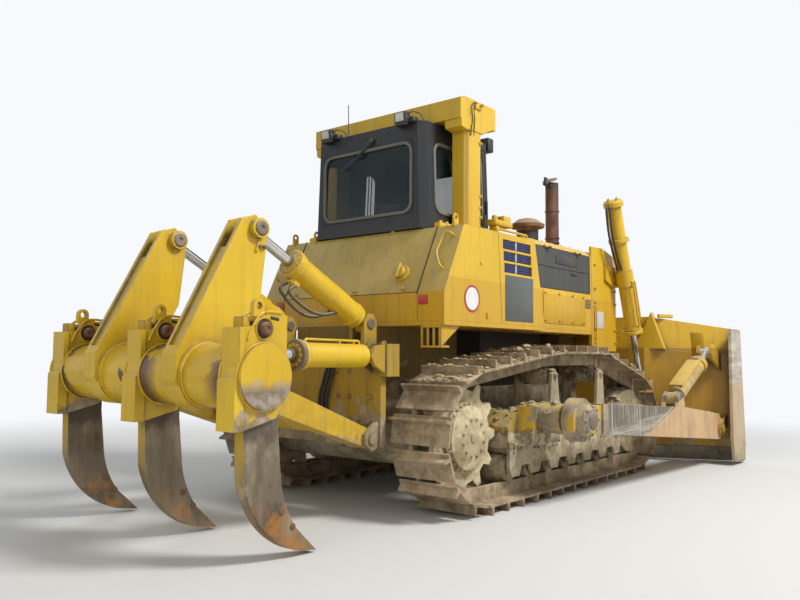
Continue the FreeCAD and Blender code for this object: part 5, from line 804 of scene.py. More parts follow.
# Each pocket holds its shank by a cross pin with a rusty head in a ringed hole, beside a
# long slot that gives a chain hook its hold.
for tag, middle in POCKETS:
    stop, pocket, head, hole_shade = bmesh.new(), bmesh.new(), bmesh.new(), bmesh.new()
    for hand, name in SIDES:
        plane = middle + hand * 0.079
        centre = spot(TUBE_STATION, plane, 1.552)
        turned(pocket, ((0.066, -0.004), (0.078, -0.003), (0.078, 0.006), (0.072, 0.010),
                        (0.067, 0.006), (0.066, -0.004)), centre, (0, hand, 0), 24)
        bent_tube(f"pocket_rim_{tag}_{name}", [
            spot(station, plane + hand * 0.003, height) for station, height in (
                (-2.475, 1.475), (-2.455, 1.535), (-2.415, 1.590), (-2.370, 1.655),
                (-2.300, 1.668), (-2.190, 1.660))], 0.010, ripper_paint, 0.04,
            body="ripper_beam")
        turned(head, ((0, 0.0), (0.043, 0.0), (0.045, 0.030), (0.038, 0.044), (0.018, 0.046),
                      (0.014, 0.038), (0, 0.038)), centre, (0, hand, 0), 20)
        # Painted shade: a dark disc fills the ringed hole round the pin, and a thin dark plate
        # stands for the slot.
        turned(hole_shade, ((0, 0.003), (0.064, 0.003), (0.064, -0.002), (0, -0.002)), centre,
               (0, hand, 0), 24)
        board(hole_shade, (0.076, 0.006, 0.022), 0.0025, spot(-2.245, plane, 1.622),
              rotation(8, "Y"))
    board(stop, (0.064, 0.100, 0.090), 0.009, spot(-2.462, middle, 1.585))
    settle(f"pocket_stop_{tag}", stop, chipped_yellow, body="ripper_beam")
    settle(f"pocket_rings_{tag}", pocket, ripper_paint, body="ripper_beam")
    settle(f"pocket_pins_{tag}", head, rust_brown, "ripper_beam")
    settle(f"pocket_hole_shade_{tag}", hole_shade, slot_dark, "ripper_beam")


# Weld beads run round every collar, and a polished pin with a keeper plate crosses the
# top of each tower.
def bead_ring(mesh, centre, axis, radius, thickness, segments=56):
    turned(mesh, [(radius + out, along) for out, along in ring(
        thickness, [k * math.tau / 6 for k in range(7)])], centre, axis, segments)


beads, pins = bmesh.new(), bmesh.new()
for hand, _ in SIDES:
    for out, radius in ((TOWER_SIDE - 0.094, 0.224), (TOWER_SIDE + 0.094, 0.224),
                        (1.11 - 0.093, 0.222), (1.11 + 0.083, 0.222), (0.093, 0.222)):
        bead_ring(beads, spot(TUBE_STATION, hand * out, TUBE_HEIGHT), (0, 1, 0), radius, 0.011)
    for outward in (1, -1):
        turned(pins, ((0, 0.0), (0.060, 0.0), (0.060, 0.006), (0.050, 0.014), (0.020, 0.014),
                      (0.016, 0.004), (0, 0.004)),
               spot(TOWER_PIN[0], hand * (TOWER_SIDE + outward * 0.13), TOWER_PIN[1]),
               (0, hand * outward, 0), 28)
    keeper = spot(TOWER_PIN[0], hand * (TOWER_SIDE + 0.083), 2.20)
    lean = Matrix.Rotation(0.3, 3, "Y")
    board(beads, (0.090, 0.024, 0.024), 0.004, keeper + Vector((0.03, 0, 0)), lean)
    board(beads, (0.024, 0.032, 0.090), 0.004, keeper, lean)
    bolts(pins, [(keeper + Vector((ahead, hand * 0.012, 0.0)), (0, hand, 0))
                 for ahead in (0.01, 0.055)], 0.012)
settle("ripper_welds", beads, ripper_paint, body="ripper_beam")
settle("tower_pins", pins, pin_steel, "ripper_beam")

# Ripper cylinders: glands caked with dirt, a pipe along each barrel and pairs of hoses
# that come up from the support.
for hand, name in SIDES:
    along, beside = ram(spot(-0.60, hand * TOWER_SIDE, 1.66),
                        spot(TOWER_PIN[0], hand * TOWER_SIDE, TOWER_PIN[1]))
    head = bmesh.new()
    gland(head, beside(0.965), along, 0.106)
    turned(head, ((0.100, -0.02), (0.112, -0.014), (0.112, 0.014), (0.100, 0.02)),
           beside(0.17), along, 28)
    board(head, (0.11, 0.07, 0.06), 0.008, beside(0.90, -0.118),
          along.to_track_quat("X", "Z").to_matrix())
    settle(f"tilt_head_{name}", head, ripper_paint, body="ripper_tilt_barrels")
    for k, shift in enumerate((-0.026, 0.022)):
        out = hand * shift
        bent_tube(f"tilt_hose_{name}_{k + 1}", [
            beside(0.93 - k * 0.05, -0.14, out), beside(1.00 - k * 0.06, -0.23, out),
            beside(0.76, 0.03 * k - 0.29, out * 1.6), beside(0.54, 0.03 * k - 0.26, out * 1.2),
            beside(0.40 - 0.03 * k, -0.10, out)],
            0.014, hose_grey, 0.18, "ripper_tilt_barrels")
    bent_tube(f"tilt_pipe_{name}", [beside(reach, up, 0.02) for reach, up in (
        (0.24, 0.09), (0.24, 0.125), (0.90, 0.125), (0.90, 0.095))], 0.011, ripper_paint,
        0.03, body="ripper_tilt_barrels")
    along, beside = ram(spot(-0.80, hand * 0.76, 1.375), spot(-1.94, hand * 0.76, 1.385))
    head = bmesh.new()
    gland(head, beside(0.828), along, 0.100)
    settle(f"ram_head_{name}", head, caked_iron, "ripper_lift_barrels")
    for k, (reach, out) in enumerate(((0.78, -0.03), (0.33, 0.03)), 1):
        bent_tube(f"ram_pipe_{name}_{k}", [
            beside(reach, 0.085, out), beside(reach, 0.122, out), beside(0.16, 0.122, out),
            beside(0.16, 0.085, out)], 0.010, ripper_paint, 0.03, body="ripper_lift_barrels")


# Shanks: forged legs, brown where the paint has gone, scoured bright down the sides, with
# yellow left on the rear edge and fresh rust on the points.
def shank_colours(place):
    height = place.part("Z")
    scour = place.clouds(1.0, 6.0, (5, 9, 1.6)).between(0.34, 0.68)
    steel = scour.tint((0.10, 0.070, 0.040), (0.34, 0.275, 0.175))
    pale = (place.clouds(2.2, 6.0, (1.4, 1.4, 0.8), 8.0) - 0.56).between(0.0, 0.10)
    pale = pale * (height - 0.28).between(0.0, 0.3)
    steel = (pale * 0.7).tint(steel, (0.52, 0.45, 0.33))
    rust = place.clouds(6.0, 5.0)
    tip = (0.42 - height + (rust - 0.5) * 0.5).between(0.0, 0.2) * rust.between(0.42, 0.62)
    steel = (tip * 0.85).tint(steel, (0.42, 0.175, 0.03))
    caked = (place.clouds(3.0, 5.0, shift=9.0) - 0.42).between(0.0, 0.12)
    steel = (caked * 0.55).tint(steel, (0.20, 0.16, 0.115))
    rear = (0 - place.facing("X") - 0.35).between(0.0, 0.3)
    rear = rear * (height - 0.35).between(0.0, 0.5)
    rear = rear * place.clouds(4.0, 4.0, shift=2.0).between(0.34, 0.46)
    top = (height - 0.78 + (rust - 0.5) * 0.3).between(0.0, 0.08)
    steel = (top * 0.8).tint(steel, (0.075, 0.055, 0.040))
    return rear.tint(steel, (0.52, 0.33, 0.02))


shank_steel = weathered(
    "shank_steel", shank_colours, metal=0.35, dust=0.25, shade_and_grime=0.5, chips=0.5,
    bare=(0.36, 0.32, 0.27), edge=0.012, relief=0.5)
dress(shank_steel, "shanks")
point_pins = bmesh.new()
shank_sides = surface_of("shanks")
for _, middle in POCKETS:
    for hand, _ in SIDES:
        starts = [spot(station, middle + hand * 0.4, height)
                  for station, height in ((-2.02, 0.215), (-2.12, 0.33))]
        for place, _ in hits(shank_sides, starts, (0, -hand, 0)):
            if abs(place.y - middle) < 0.2:
                knob(point_pins, place, (0, hand, 0), 0.024, 0.004, 0.016, 0.008, 16)
settle("point_pins", point_pins, rust_brown, "ripper_beam")

# Ripper support and arm: bolts round the arm's feet, and hoses laid down the plates.
support_bolts = bmesh.new()
starts = [spot(-1.9, hand * y, height) for hand, _ in SIDES for y in (0.30, 0.44, 0.68, 0.83)
          for height in (0.82, 1.02, 1.25, 1.48)]
bolts(support_bolts, [(place, facing) for place, facing in hits(
    surface_of("ripper_support"), starts, (1, 0, 0))
    if facing.x < -0.9 and place.x > AXLE - 0.75], 0.019)
settle("support_bolts", support_bolts, support_shade_and_grime)
for k in range(3):
    y = -0.20 + 0.045 * k
    bent_tube(f"support_hose_{k + 1}", [
        spot(-0.66, y - 0.25, 1.50), spot(-0.71, y - 0.25, 1.52), spot(-0.73, y - 0.10, 1.30),
        spot(-0.73, y, 1.02), spot(-0.71, y + 0.02, 0.90), spot(-0.67, y + 0.02, 0.88)],
        0.015, hose_rubber, 0.10)

# Tank and side boxes: seams, a filler cap under its hinged lid, lifting eyes, a bent
# handrail, a red reflector, a guarded lamp under the ledge and a blank round sign.
SLOPE = Vector((-0.90, 0, 0.436)).normalized()
tank_trim, seams = bmesh.new(), bmesh.new()
cap_place = spot(-0.185, -0.615, 2.138)
turned(tank_trim, ((0.088, -0.01), (0.088, 0.014), (0.078, 0.022), (0.060, 0.022),
                   (0.060, 0.050), (0.052, 0.060), (0, 0.062)), cap_place, SLOPE, 32)
board(tank_trim, (0.036, 0.150, 0.024), 0.005, cap_place + SLOPE * 0.070,
      SLOPE.to_track_quat("Z", "Y").to_matrix())
for y in (-0.335, 0.735, -1.06, 1.06):
    board(tank_trim, (0.070, 0.028, 0.075), 0.005, spot(0.045, y, 2.60))
    bead_ring(tank_trim, spot(0.045, y, 2.650), (0, 1, 0), 0.030, 0.013, 20)
bolts(tank_trim, [(spot(-0.275, y, 1.99), (-1, 0, 0)) for y in (-0.7, 0.1, -0.1, 0.7)], 0.014)
settle("tank_trim", tank_trim, hull_paint)
for hand, _ in SIDES:
    board(seams, (0.007, 0.010, 0.72), 0.001, spot(-0.1265, hand * 0.868, 2.263),
          rotation(25.9, "Y"))
board(seams, (0.008, 1.73, 0.006), 0.001, spot(-0.275, 0, 1.950))
settle("tank_seams", seams, slot_dark)
for hand, name in SIDES:
    bent_tube(f"slope_rail_{name}", [
        spot(station, hand * y, height) + SLOPE * lift for station, y, height, lift in (
            (-0.022, 1.095, 2.470, 0), (-0.022, 1.095, 2.470, 0.055),
            (-0.010, 1.015, 2.495, 0.055), (-0.108, 0.987, 2.292, 0.055),
            (-0.172, 1.073, 2.162, 0.055), (-0.172, 1.073, 2.162, 0))],
        0.011, hull_paint, 0.035)
sign_white = weathered(
    "sign_white", (0.78, 0.77, 0.74), rough=0.4, dust=0.18, shade_and_grime=0.2, streaks=0.2, chips=0.15,
    edge=0.002, relief=0.08)
signal_red = weathered(
    "signal_red", (0.42, 0.035, 0.025), rough=0.35, streaks=0.2, chips=0.1, edge=0.002,
    relief=0.1, coat=0.3)
lamp_glass = weathered(
    "lamp_glass", (0.55, 0.54, 0.50), rough=0.15, dust=0.25, shade_and_grime=0.2, streaks=0.0,
    edge=0.002, relief=0.06, coat=0.6)
lamp_black = weathered(
    "lamp_black", (0.020, 0.020, 0.021), dust=0.4, streaks=0.1, chips=0.2,
    bare=(0.12, 0.11, 0.10), edge=0.004)
for hand, name in SIDES:
    disc, rim, glass_red = bmesh.new(), bmesh.new(), bmesh.new()
    centre = spot(0.160, hand * 1.166, 1.905)
    turned(disc, ((0, 0.0), (0.106, 0.0), (0.106, 0.0025), (0, 0.0025)), centre,
           (0, hand, 0), 40)
    turned(rim, ((0.105, 0.0), (0.126, 0.0), (0.126, 0.0030), (0.105, 0.0030),
                 (0.105, 0.0)), centre, (0, hand, 0), 40)
    board(glass_red, (0.012, 0.104, 0.084), 0.004, spot(-0.280, hand * 0.935, 1.880))
    settle(f"sign_face_{name}", disc, sign_white)
    settle(f"sign_rim_{name}", rim, signal_red)
    settle(f"reflector_{name}", glass_red, signal_red)
    cage, unit, gusset = bmesh.new(), bmesh.new(), bmesh.new()
    for k in range(4):
        board(cage, (0.022, 0.022, 0.19), 0.004, spot(
            -0.262, hand * 1.015 - 0.098 + 0.196 * k / 3, 1.555))
    for thickness, height in ((0.024, 1.640), (0.020, 1.462)):
        board(cage, (0.14, 0.22, thickness), 0.005, spot(-0.205, hand * 1.015, height))
    board(unit, (0.090, 0.176, 0.160), 0.012, spot(-0.190, hand * 1.015, 1.552))
    corners = [gusset.verts.new(spot(station, hand * 1.122, height)) for station, height in
               ((-0.275, 1.655), (0.02, 1.655), (-0.275, 1.462))]
    plate = bmesh.ops.contextual_create(gusset, geom=corners)["faces"]
    grown = bmesh.ops.extrude_face_region(gusset, geom=plate)["geom"]
    bmesh.ops.translate(gusset, verts=[v for v in grown if isinstance(v, bmesh.types.BMVert)],
                        vec=(0, hand * 0.014, 0))
    settle(f"lamp_cage_{name}", cage, hull_paint)
    settle(f"lamp_unit_{name}", unit, lamp_black)
    settle(f"lamp_gusset_{name}", gusset, hull_paint)

# Side panels: three blue louvre strips in their recesses, a dark grey lower panel without
# lettering, a grab rail on top and a small latch.
louvre_blue = weathered(
    "louvre_blue", (0.028, 0.040, 0.165), dust=0.22, chips=0.2, bare=(0.3, 0.3, 0.32),
    edge=0.003)
panel_grey = weathered(
    "panel_grey", (0.070, 0.078, 0.074), rough=0.42, shade_and_grime=0.4, streaks=0.35, chips=0.25,
    bare=(0.3, 0.29, 0.27), edge=0.003, coat=0.1)
for hand, name in SIDES:
    strips, stripe, plate, latch = bmesh.new(), bmesh.new(), bmesh.new(), bmesh.new()
    for k in range(3):
        top, middle = 2.520 - 0.115 * k, 0.970 + 0.014 * k
        for row in range(3):
            board(strips, (0.524, 0.024, 0.007), 0.0025,
                  spot(middle, hand * 1.150, top - 0.020 - 0.026 * row),
                  rotation(hand * 62, "X"))
        board(strips, (0.536, 0.004, 0.088), 0.001, spot(middle, hand * 1.142, top - 0.046))
        board(stripe, (0.012, 0.024, 0.080), 0.001, spot(0.955, hand * 1.152, top - 0.046))
    board(plate, (0.544, 0.005, 0.450), 0.002, spot(1.014, hand * 1.1665, 1.950))
    board(latch, (0.024, 0.020, 0.056), 0.004, spot(0.413, hand * 1.170, 1.760))
    knob(latch, spot(0.311, hand * 1.165, 2.247), (0, hand, 0), 0.016, 0.006, 0.008, 0.010,
         16)
    settle(f"louvre_strips_{name}", strips, louvre_blue)
    settle(f"louvre_stripe_{name}", stripe, sign_white)
    settle(f"grey_panel_{name}", plate, panel_grey)
    settle(f"side_latches_{name}", latch, hull_paint)
    bent_tube(f"top_rail_{name}", [spot(station, hand * 1.10, height) for station, height in (
        (0.70, 2.578), (0.70, 2.630), (1.28, 2.630), (1.28, 2.578))], 0.013, hull_paint)

# Hood: yellow sheet with dark grey engine doors that have a pressed hatch and a latch.
# The lower panel is a bolted yellow plate with nothing written on it.
door_grey = weathered(
    "door_grey", (0.036, 0.037, 0.034), rough=0.45, shade_and_grime=0.4, streaks=0.4, chips=0.25,
    bare=(0.2, 0.19, 0.18), edge=0.005, coat=0.1)
pale_plate = weathered("pale_plate", (0.56, 0.56, 0.54), rough=0.45, chips=0.3, edge=0.003)
grille_paint = weathered(
    "grille_paint", (0.42, 0.28, 0.045), dust=0.5, shade_and_grime=0.7, chips=0.5, mud=0.5, mud_top=1.95,
    mud_fade=1.0)
dress(hull_paint, "hood", "radiator_guard")
dress(door_grey, "engine_door_right", "engine_door_left")
dress(grille_paint, "radiator_grille")
guard_trim, guard_plate = bmesh.new(), bmesh.new()
for hand, name in SIDES:
    pressed, bolted, patch = bmesh.new(), bmesh.new(), bmesh.new()
    for size, rounding, station, y, height in (
            ((1.32, 0.012, 0.020), 0.004, 2.33, 0.972, 2.395),
            ((0.52, 0.010, 0.110), 0.004, 2.42, 0.972, 2.49),
            ((0.110, 0.016, 0.032), 0.005, 2.618, 0.974, 2.345),
            ((0.060, 0.024, 0.012), 0.004, 2.618, 0.982, 2.345)):
        board(pressed, size, rounding, spot(station, hand * y, height))
    settle(f"door_pressings_{name}", pressed, door_grey,
           f"engine_door_{name}")
    board(bolted, (1.05, 0.008, 0.370), 0.003, spot(2.385, hand * 0.973, 1.935))
    bolts(bolted, [(spot(station, hand * 0.977, height), (0, hand, 0))
                   for station in (1.895, 2.225, 2.555, 2.845) for height in (1.78, 2.09)],
          0.010)
    settle(f"lower_panel_{name}", bolted, hull_paint)
    for k in range(5):
        board(patch, (0.17, 0.008, 0.010), 0.002, spot(2.965, hand * 0.975, 1.975 + 0.022 * k),
              rotation(hand * 30, "X"))
    settle(f"corner_louvre_{name}", patch, panel_grey)
    board(guard_plate, (0.25, 0.008, 0.210), 0.003, spot(3.290, hand * 0.975, 1.835))
    bolts(guard_trim, [(spot(station, hand * 0.970, height), (0, hand, 0))
                       for station in (3.175, 3.755)
                       for height in (1.56, 1.72, 2.05, 2.22, 2.52)], 0.015)
    bent_tube(f"guard_rail_{name}", [spot(3.16, hand * y, height) for y, height in (
        (0.965, 2.00), (1.0, 2.00), (1.0, 1.60), (0.965, 1.60))], 0.010, hull_paint, 0.03)
settle("guard_bolts", guard_trim, hull_paint)
settle("guard_plates", guard_plate, pale_plate)


# Exhaust and air cleaner: a rusty pipe with a hinged rain flap and two clamps, and a
# black can under a rusty mushroom cap that stands on a bolted ring.
def cleaner_colours(place):
    cap = (place.part("Z") - 2.868).between(0.0, 0.008)
    rusty = place.clouds(9.0, 5.0).between(0.35, 0.65).tint((0.12, 0.05, 0.03),
                                                            (0.30, 0.14, 0.075))
    return cap.tint((0.018, 0.018, 0.019), rusty)


def pipe_colours(place):
    rusty = place.clouds(7.0, 6.0, (1, 1, 0.5)).between(0.34, 0.66).tint(
        (0.055, 0.028, 0.022), (0.20, 0.085, 0.05))
    return (place.part("Z") - 3.45).between(0.0, 0.08).tint(rusty, (0.035, 0.032, 0.03))


pipe_rust = weathered(
    "pipe_rust", pipe_colours, rough=0.75, shade_and_grime=0.4, chips=0.3, bare=(0.08, 0.05, 0.04),
    relief=0.45)
cleaner_rust = weathered(
    "cleaner_rust", cleaner_colours, rough=0.65, dust=0.35, shade_and_grime=0.4, streaks=0.2, chips=0.3,
    bare=(0.1, 0.07, 0.05), relief=0.35)
dress(pipe_rust, "exhaust_stack")
dress(cleaner_rust, "pre_cleaner")
stack, cleaner = bmesh.new(), bmesh.new()
pipe_at = spot(2.955, -0.51, 0)
for height in (2.80, 2.86, 3.20):
    turned(stack, ((0.080, -0.012), (0.090, -0.010), (0.090, 0.010), (0.080, 0.012)),
           pipe_at + Vector((0, 0, height)), (0, 0, 1), 28)
turned(stack, ((0, -0.004), (0.092, -0.004), (0.096, 0.0), (0.092, 0.004), (0, 0.006)),
       pipe_at + Vector((-0.055, 0, 3.592)), Vector((-0.45, 0, 0.9)), 24)
board(stack, (0.110, 0.060, 0.024), 0.004, pipe_at + Vector((-0.135, 0, 3.545)),
      rotation(-25, "Y"))
board(stack, (0.060, 0.024, 0.110), 0.004, pipe_at + Vector((-0.160, 0, 3.555)))
board(stack, (0.032, 0.080, 0.032), 0.004, pipe_at + Vector((-0.090, 0, 3.520)))
settle("rain_flap", stack, pipe_rust)
bolts(cleaner, [(spot(2.35 + x, -0.50 + y, 2.682), (0, 0, 1)) for x, y in ring(0.165, 8)],
      0.010)
settle("cleaner_bolts", cleaner, lamp_black)
hood_top, fittings = bmesh.new(), bmesh.new()
bolts(hood_top, [(spot(1.62 + 0.23 * k, y, 2.680), (0, 0, 1))
                 for k in range(7) for y in (-0.84, -0.10, 0.10, 0.84)], 0.012)
knob(hood_top, spot(2.0, 0.5, 2.68), (0, 0, 1), 0.07, 0.03, 0.05, 0.045, 24)
board(hood_top, (0.60, 0.012, 0.014), 0.003, spot(2.35, 0.0, 2.684))
settle("hood_bolts", hood_top, hull_paint)
board(fittings, (0.34, 0.12, 0.06), 0.014, spot(1.02, -0.93, 2.735))
board(fittings, (0.14, 0.10, 0.08), 0.012, spot(1.10, -0.93, 2.78))
board(fittings, (0.06, 0.09, 0.13), 0.010, spot(0.92, -0.93, 2.65))
knob(fittings, spot(0.93, -0.93, 2.765), (0, 0, 1), 0.030, 0.04, 0.02, 0.05, 18)
for hand, _ in SIDES:
    for station, length in ((0.12, 0.11), (0.22, 0.09), (0.33, 0.07)):
        board(fittings, (length, 0.07, 0.06), 0.010, spot(station, hand * 0.835, 2.605))
        knob(fittings, spot(station, hand * 0.835, 2.632), (0, 0, 1), 0.020, 0.018, 0.012,
             0.026, 14)
settle("deck_fittings", fittings, hull_paint)


# Cab: a welded black shell with tinted panes in rounded rubber seals. Its corners are
# dusty; through the glass show a cloth seat, two arm consoles and levers.
def cab_colours(place):
    low = (2.78 - place.part("Z") + (place.clouds(3.0) - 0.5) * 0.3).between(0.0, 0.25)
    black = place.clouds(1.4).between(0.3, 0.75).tint((0.005, 0.006, 0.009),
                                                      (0.012, 0.013, 0.016))
    return (low * 0.35).tint(black, (0.05, 0.045, 0.04))


def glazing(name, colour, cover):
    """Tinted glass, with a film of dust that is thicker towards the panes' lower edge."""
    material, blank, _, feed = finish(name)
    place = blank.place()
    low = (2.95 - place.part("Z")).between(0.0, 0.3) * 0.12
    dusty = place.clouds(2.5, 3.0).between(0.45, 0.85) * 0.10 + low
    feed(dusty.tint(colour, (0.42, 0.37, 0.28)), "Base Color")
    feed(dusty * 0.5 + cover, "Alpha")
    feed(dusty * 0.6 + 0.05, "Roughness")
    return material


cab_black = weathered(
    "cab_black", cab_colours, dust=0.06, streaks=0.04, chips=0.2, bare=(0.13, 0.12, 0.11),
    edge=0.006, relief=0.12)
seal_rubber = weathered(
    "seal_rubber", (0.14, 0.14, 0.115), rough=0.7, streaks=0.1, edge=0.004, relief=0.1)
cab_tint = glazing("cab_tint", (0.012, 0.034, 0.040), 0.30)
dress(cab_black, "cab_shell", "cab_door_right", "cab_door_left")
dress(cab_tint, "cab_glass")


def rounded_frame(mesh, window, lines, back, front, soft):
    """A frame round a window, between two (offset, corner radius) lines."""
    origin, across, up, half, low, high = window
    facing = across.cross(up)
    frame, edges = bmesh.new(), []
    for offset, corner in lines:
        right, top, bottom = half + offset, high + offset, low - offset
        ends = [frame.verts.new(origin + across * x + up * z + facing * back)
                for x, z in ((right, top), (-right, top), (-right, bottom), (right, bottom))]
        bmesh.ops.contextual_create(frame, geom=ends)
        bmesh.ops.bevel(frame, geom=ends, affect="VERTICES", offset=corner, segments=6,
                        profile=0.5, material=-1)
        edges += [e for f in frame.faces for e in f.edges]
        bmesh.ops.delete(frame, geom=frame.faces[:], context="FACES_ONLY")
    bmesh.ops.triangle_fill(frame, use_beauty=True, edges=edges)
    grown = bmesh.ops.extrude_face_region(frame, geom=frame.faces[:])["geom"]
    face_points = [v for v in grown if isinstance(v, bmesh.types.BMVert)]
    bmesh.ops.translate(frame, verts=face_points, vec=facing * (front - back))
    bmesh.ops.recalc_face_normals(frame, faces=frame.faces[:])
    if soft:
        rims = [e for e in frame.edges if e.calc_face_angle(0) > 1.2
                and e.verts[0] in face_points and e.verts[1] in face_points]
        bmesh.ops.bevel(frame, geom=rims, affect="EDGES", offset=soft, segments=2,
                        profile=0.5, material=-1)
    add(mesh, frame)


# Lines, depths and rounding of a rubber seal, and of the plate that fills the corners.
RUBBER = (((0.0, 0.115), (-0.030, 0.085)), -0.010, 0.012, 0.006)
CORNERS = (((0.004, 0.006), (-0.020, 0.085)), -0.030, -0.001, None)
CAB_LEAN = math.atan2(0.038, 1.042)
rubber, corners, quarter_panes = bmesh.new(), bmesh.new(), bmesh.new()
upright = Vector((0, 0, 1))
rear_view = (spot(-0.001, 0, 0), Vector((0, -1, 0)), upright, 0.590, 2.740, 3.450)
front_view = (spot(1.391, 0, 0), Vector((0, 1, 0)), upright, 0.390, 2.740, 3.450)
rounded_frame(rubber, rear_view, *RUBBER)
rounded_frame(corners, rear_view, *CORNERS)
rounded_frame(rubber, front_view, *RUBBER)
for hand, name in SIDES:
    door = f"cab_door_{name}"
    up = Vector((0, -hand * math.sin(CAB_LEAN), math.cos(CAB_LEAN)))
    across = Vector((-hand, 0, 0))
    foot = spot(0, hand * (0.7505 + 2.588 * math.tan(CAB_LEAN)), 0)
    seal, filler, door_pane, handle = bmesh.new(), bmesh.new(), bmesh.new(), bmesh.new()
    for station, half, low, high, edging, plate, pane in (
            (0.365, 0.215, 2.742, 3.452, rubber, corners, quarter_panes),
            (0.8825, 0.1225, 2.782, 3.472, seal, filler, door_pane)):
        origin = foot + Vector((station, 0, 0))
        rounded_frame(edging, (origin, across, up, half, low, high), *RUBBER)
        rounded_frame(plate, (origin, across, up, half, low, high), *CORNERS)
        board(pane, (2 * half + 0.008, 0.006, high - low + 0.008), 0.001,
              origin + up * (low + high) / 2 - across.cross(up) * 0.020,
              Matrix.Rotation(hand * CAB_LEAN, 3, "X"))
    settle(f"door_seal_{name}", seal, seal_rubber, door)
    settle(f"door_corners_{name}", filler, cab_black, door)
    settle(f"door_pane_{name}", door_pane, cab_tint, door)
    board(handle, (0.028, 0.044, 0.14), 0.006,
          foot + up * 2.93 + Vector((1.040, hand * 0.012, 0)))
    settle(f"door_latch_{name}", handle, lamp_black, door)
    for k, station in enumerate((0.80, 0.85, 0.90, 0.95), 1):
        lift = Vector((0, hand * 0.045, 0))
        low = foot + up * 2.735 + Vector((station, 0, 0))
        high = foot + up * 3.50 + Vector((station + 0.012, 0, 0))
        bent_tube(f"door_bar_{name}_{k}", [low, low + lift, high + lift, high], 0.007,
                  lamp_black, 0.03, door, 4)
settle("window_seals", rubber, seal_rubber)
settle("window_corners", corners, cab_black)
settle("quarter_panes", quarter_panes, cab_tint)

# Cab rear: a wiper from the head of the window, two work lamps in black housings on
# brackets, their loose wires, and a whip aerial.
wiper = bmesh.new()
knob(wiper, spot(0.0, -0.080, 3.515), (-1, 0, 0), 0.026, 0.024, 0.016, 0.036, 18)
board(wiper, (0.012, 0.024, 0.22), 0.003, spot(-0.028, 0.010, 3.452), rotation(52, "X"))
board(wiper, (0.008, 0.012, 0.48), 0.002, spot(-0.022, 0.12, 3.380), rotation(62, "X"))
for y in (-0.28, 0.02, 0.30):
    turned(wiper, ((0, 0), (0.013, 0), (0.013, 0.008), (0, 0.010)), spot(0.0, y, 3.565),
           (-1, 0, 0), 12)
settle("rear_wiper", wiper, lamp_black)
bent_tube("rear_aerial", [spot(-0.010, 0.24, 3.60), spot(-0.016, 0.24, 3.95)],
          0.0045, lamp_black, 0.02, sides=4)
bent_tube("roof_aerial", [spot(0.79, -0.75, 3.88), spot(0.79, -0.75, 4.0)],
          0.006, lamp_black, 0.02, sides=4)
dress(lamp_black, "rear_lamps")
lamp_faces = surface_of("rear_lamps")
lens, brackets = bmesh.new(), bmesh.new()
front_lamps, front_lenses = bmesh.new(), bmesh.new()
for hand, name in SIDES:
    lamp_y = hand * 0.497
    place, facing = hits(lamp_faces, [spot(-0.8, lamp_y, 3.665)], (1, 0, 0))[0]
    board(lens, (0.10, 0.08, 0.008), 0.003, place + facing * 0.002,
          facing.to_track_quat("Z", "Y").to_matrix())
    for out, _ in SIDES:
        board(brackets, (0.07, 0.008, 0.06), 0.003, spot(-0.045, lamp_y + out * 0.068, 3.645))
        turned(brackets, ((0, 0), (0.012, 0), (0.012, 0.010), (0, 0.012)),
               spot(-0.055, lamp_y + out * 0.070, 3.655), (0, out, 0), 12)
    board(brackets, (0.08, 0.06, 0.05), 0.006, spot(0.005, lamp_y - 0.10, 3.645))
    bent_tube(f"lamp_wire_{name}", [
        spot(-0.03, lamp_y - 0.03, 3.685), spot(-0.03, lamp_y - 0.10, 3.720),
        spot(0.02, lamp_y - 0.17, 3.700), spot(0.03, lamp_y - 0.20, 3.632)],
        0.006, lamp_black, 0.03, sides=4)
    board(front_lamps, (0.11, 0.17, 0.15), 0.012, spot(1.225, hand * 0.615, 3.645))
    board(front_lamps, (0.06, 0.06, 0.08), 0.006, spot(1.185, hand * 0.560, 3.590))
    board(front_lenses, (0.008, 0.144, 0.124), 0.003, spot(1.281, hand * 0.615, 3.645))
settle("rear_lenses", lens, lamp_glass)
settle("rear_lamp_brackets", brackets, lamp_black)
settle("front_lamps", front_lamps, lamp_black)
settle("front_lenses", front_lenses, lamp_glass)

# Cab inside: a sprung seat with padded cushion, back and head rest, and consoles with
# levers on both sides. The levers don't move here.
seat_cloth = weathered(
    "seat_cloth", (0.030, 0.032, 0.036), rough=0.9, dust=0.25, streaks=0.0, edge=0.004,
    relief=0.5)
trim_grey = weathered(
    "trim_grey", (0.055, 0.056, 0.056), rough=0.6, dust=0.25, streaks=0.0, chips=0.1,
    edge=0.004, relief=0.15)


def shown(piece):
    """The mesh that an object's modifiers make, which are then taken off."""
    data = bpy.data.meshes.new_from_object(
        piece.evaluated_get(bpy.context.evaluated_depsgraph_get()))
    piece.modifiers.clear()
    return data


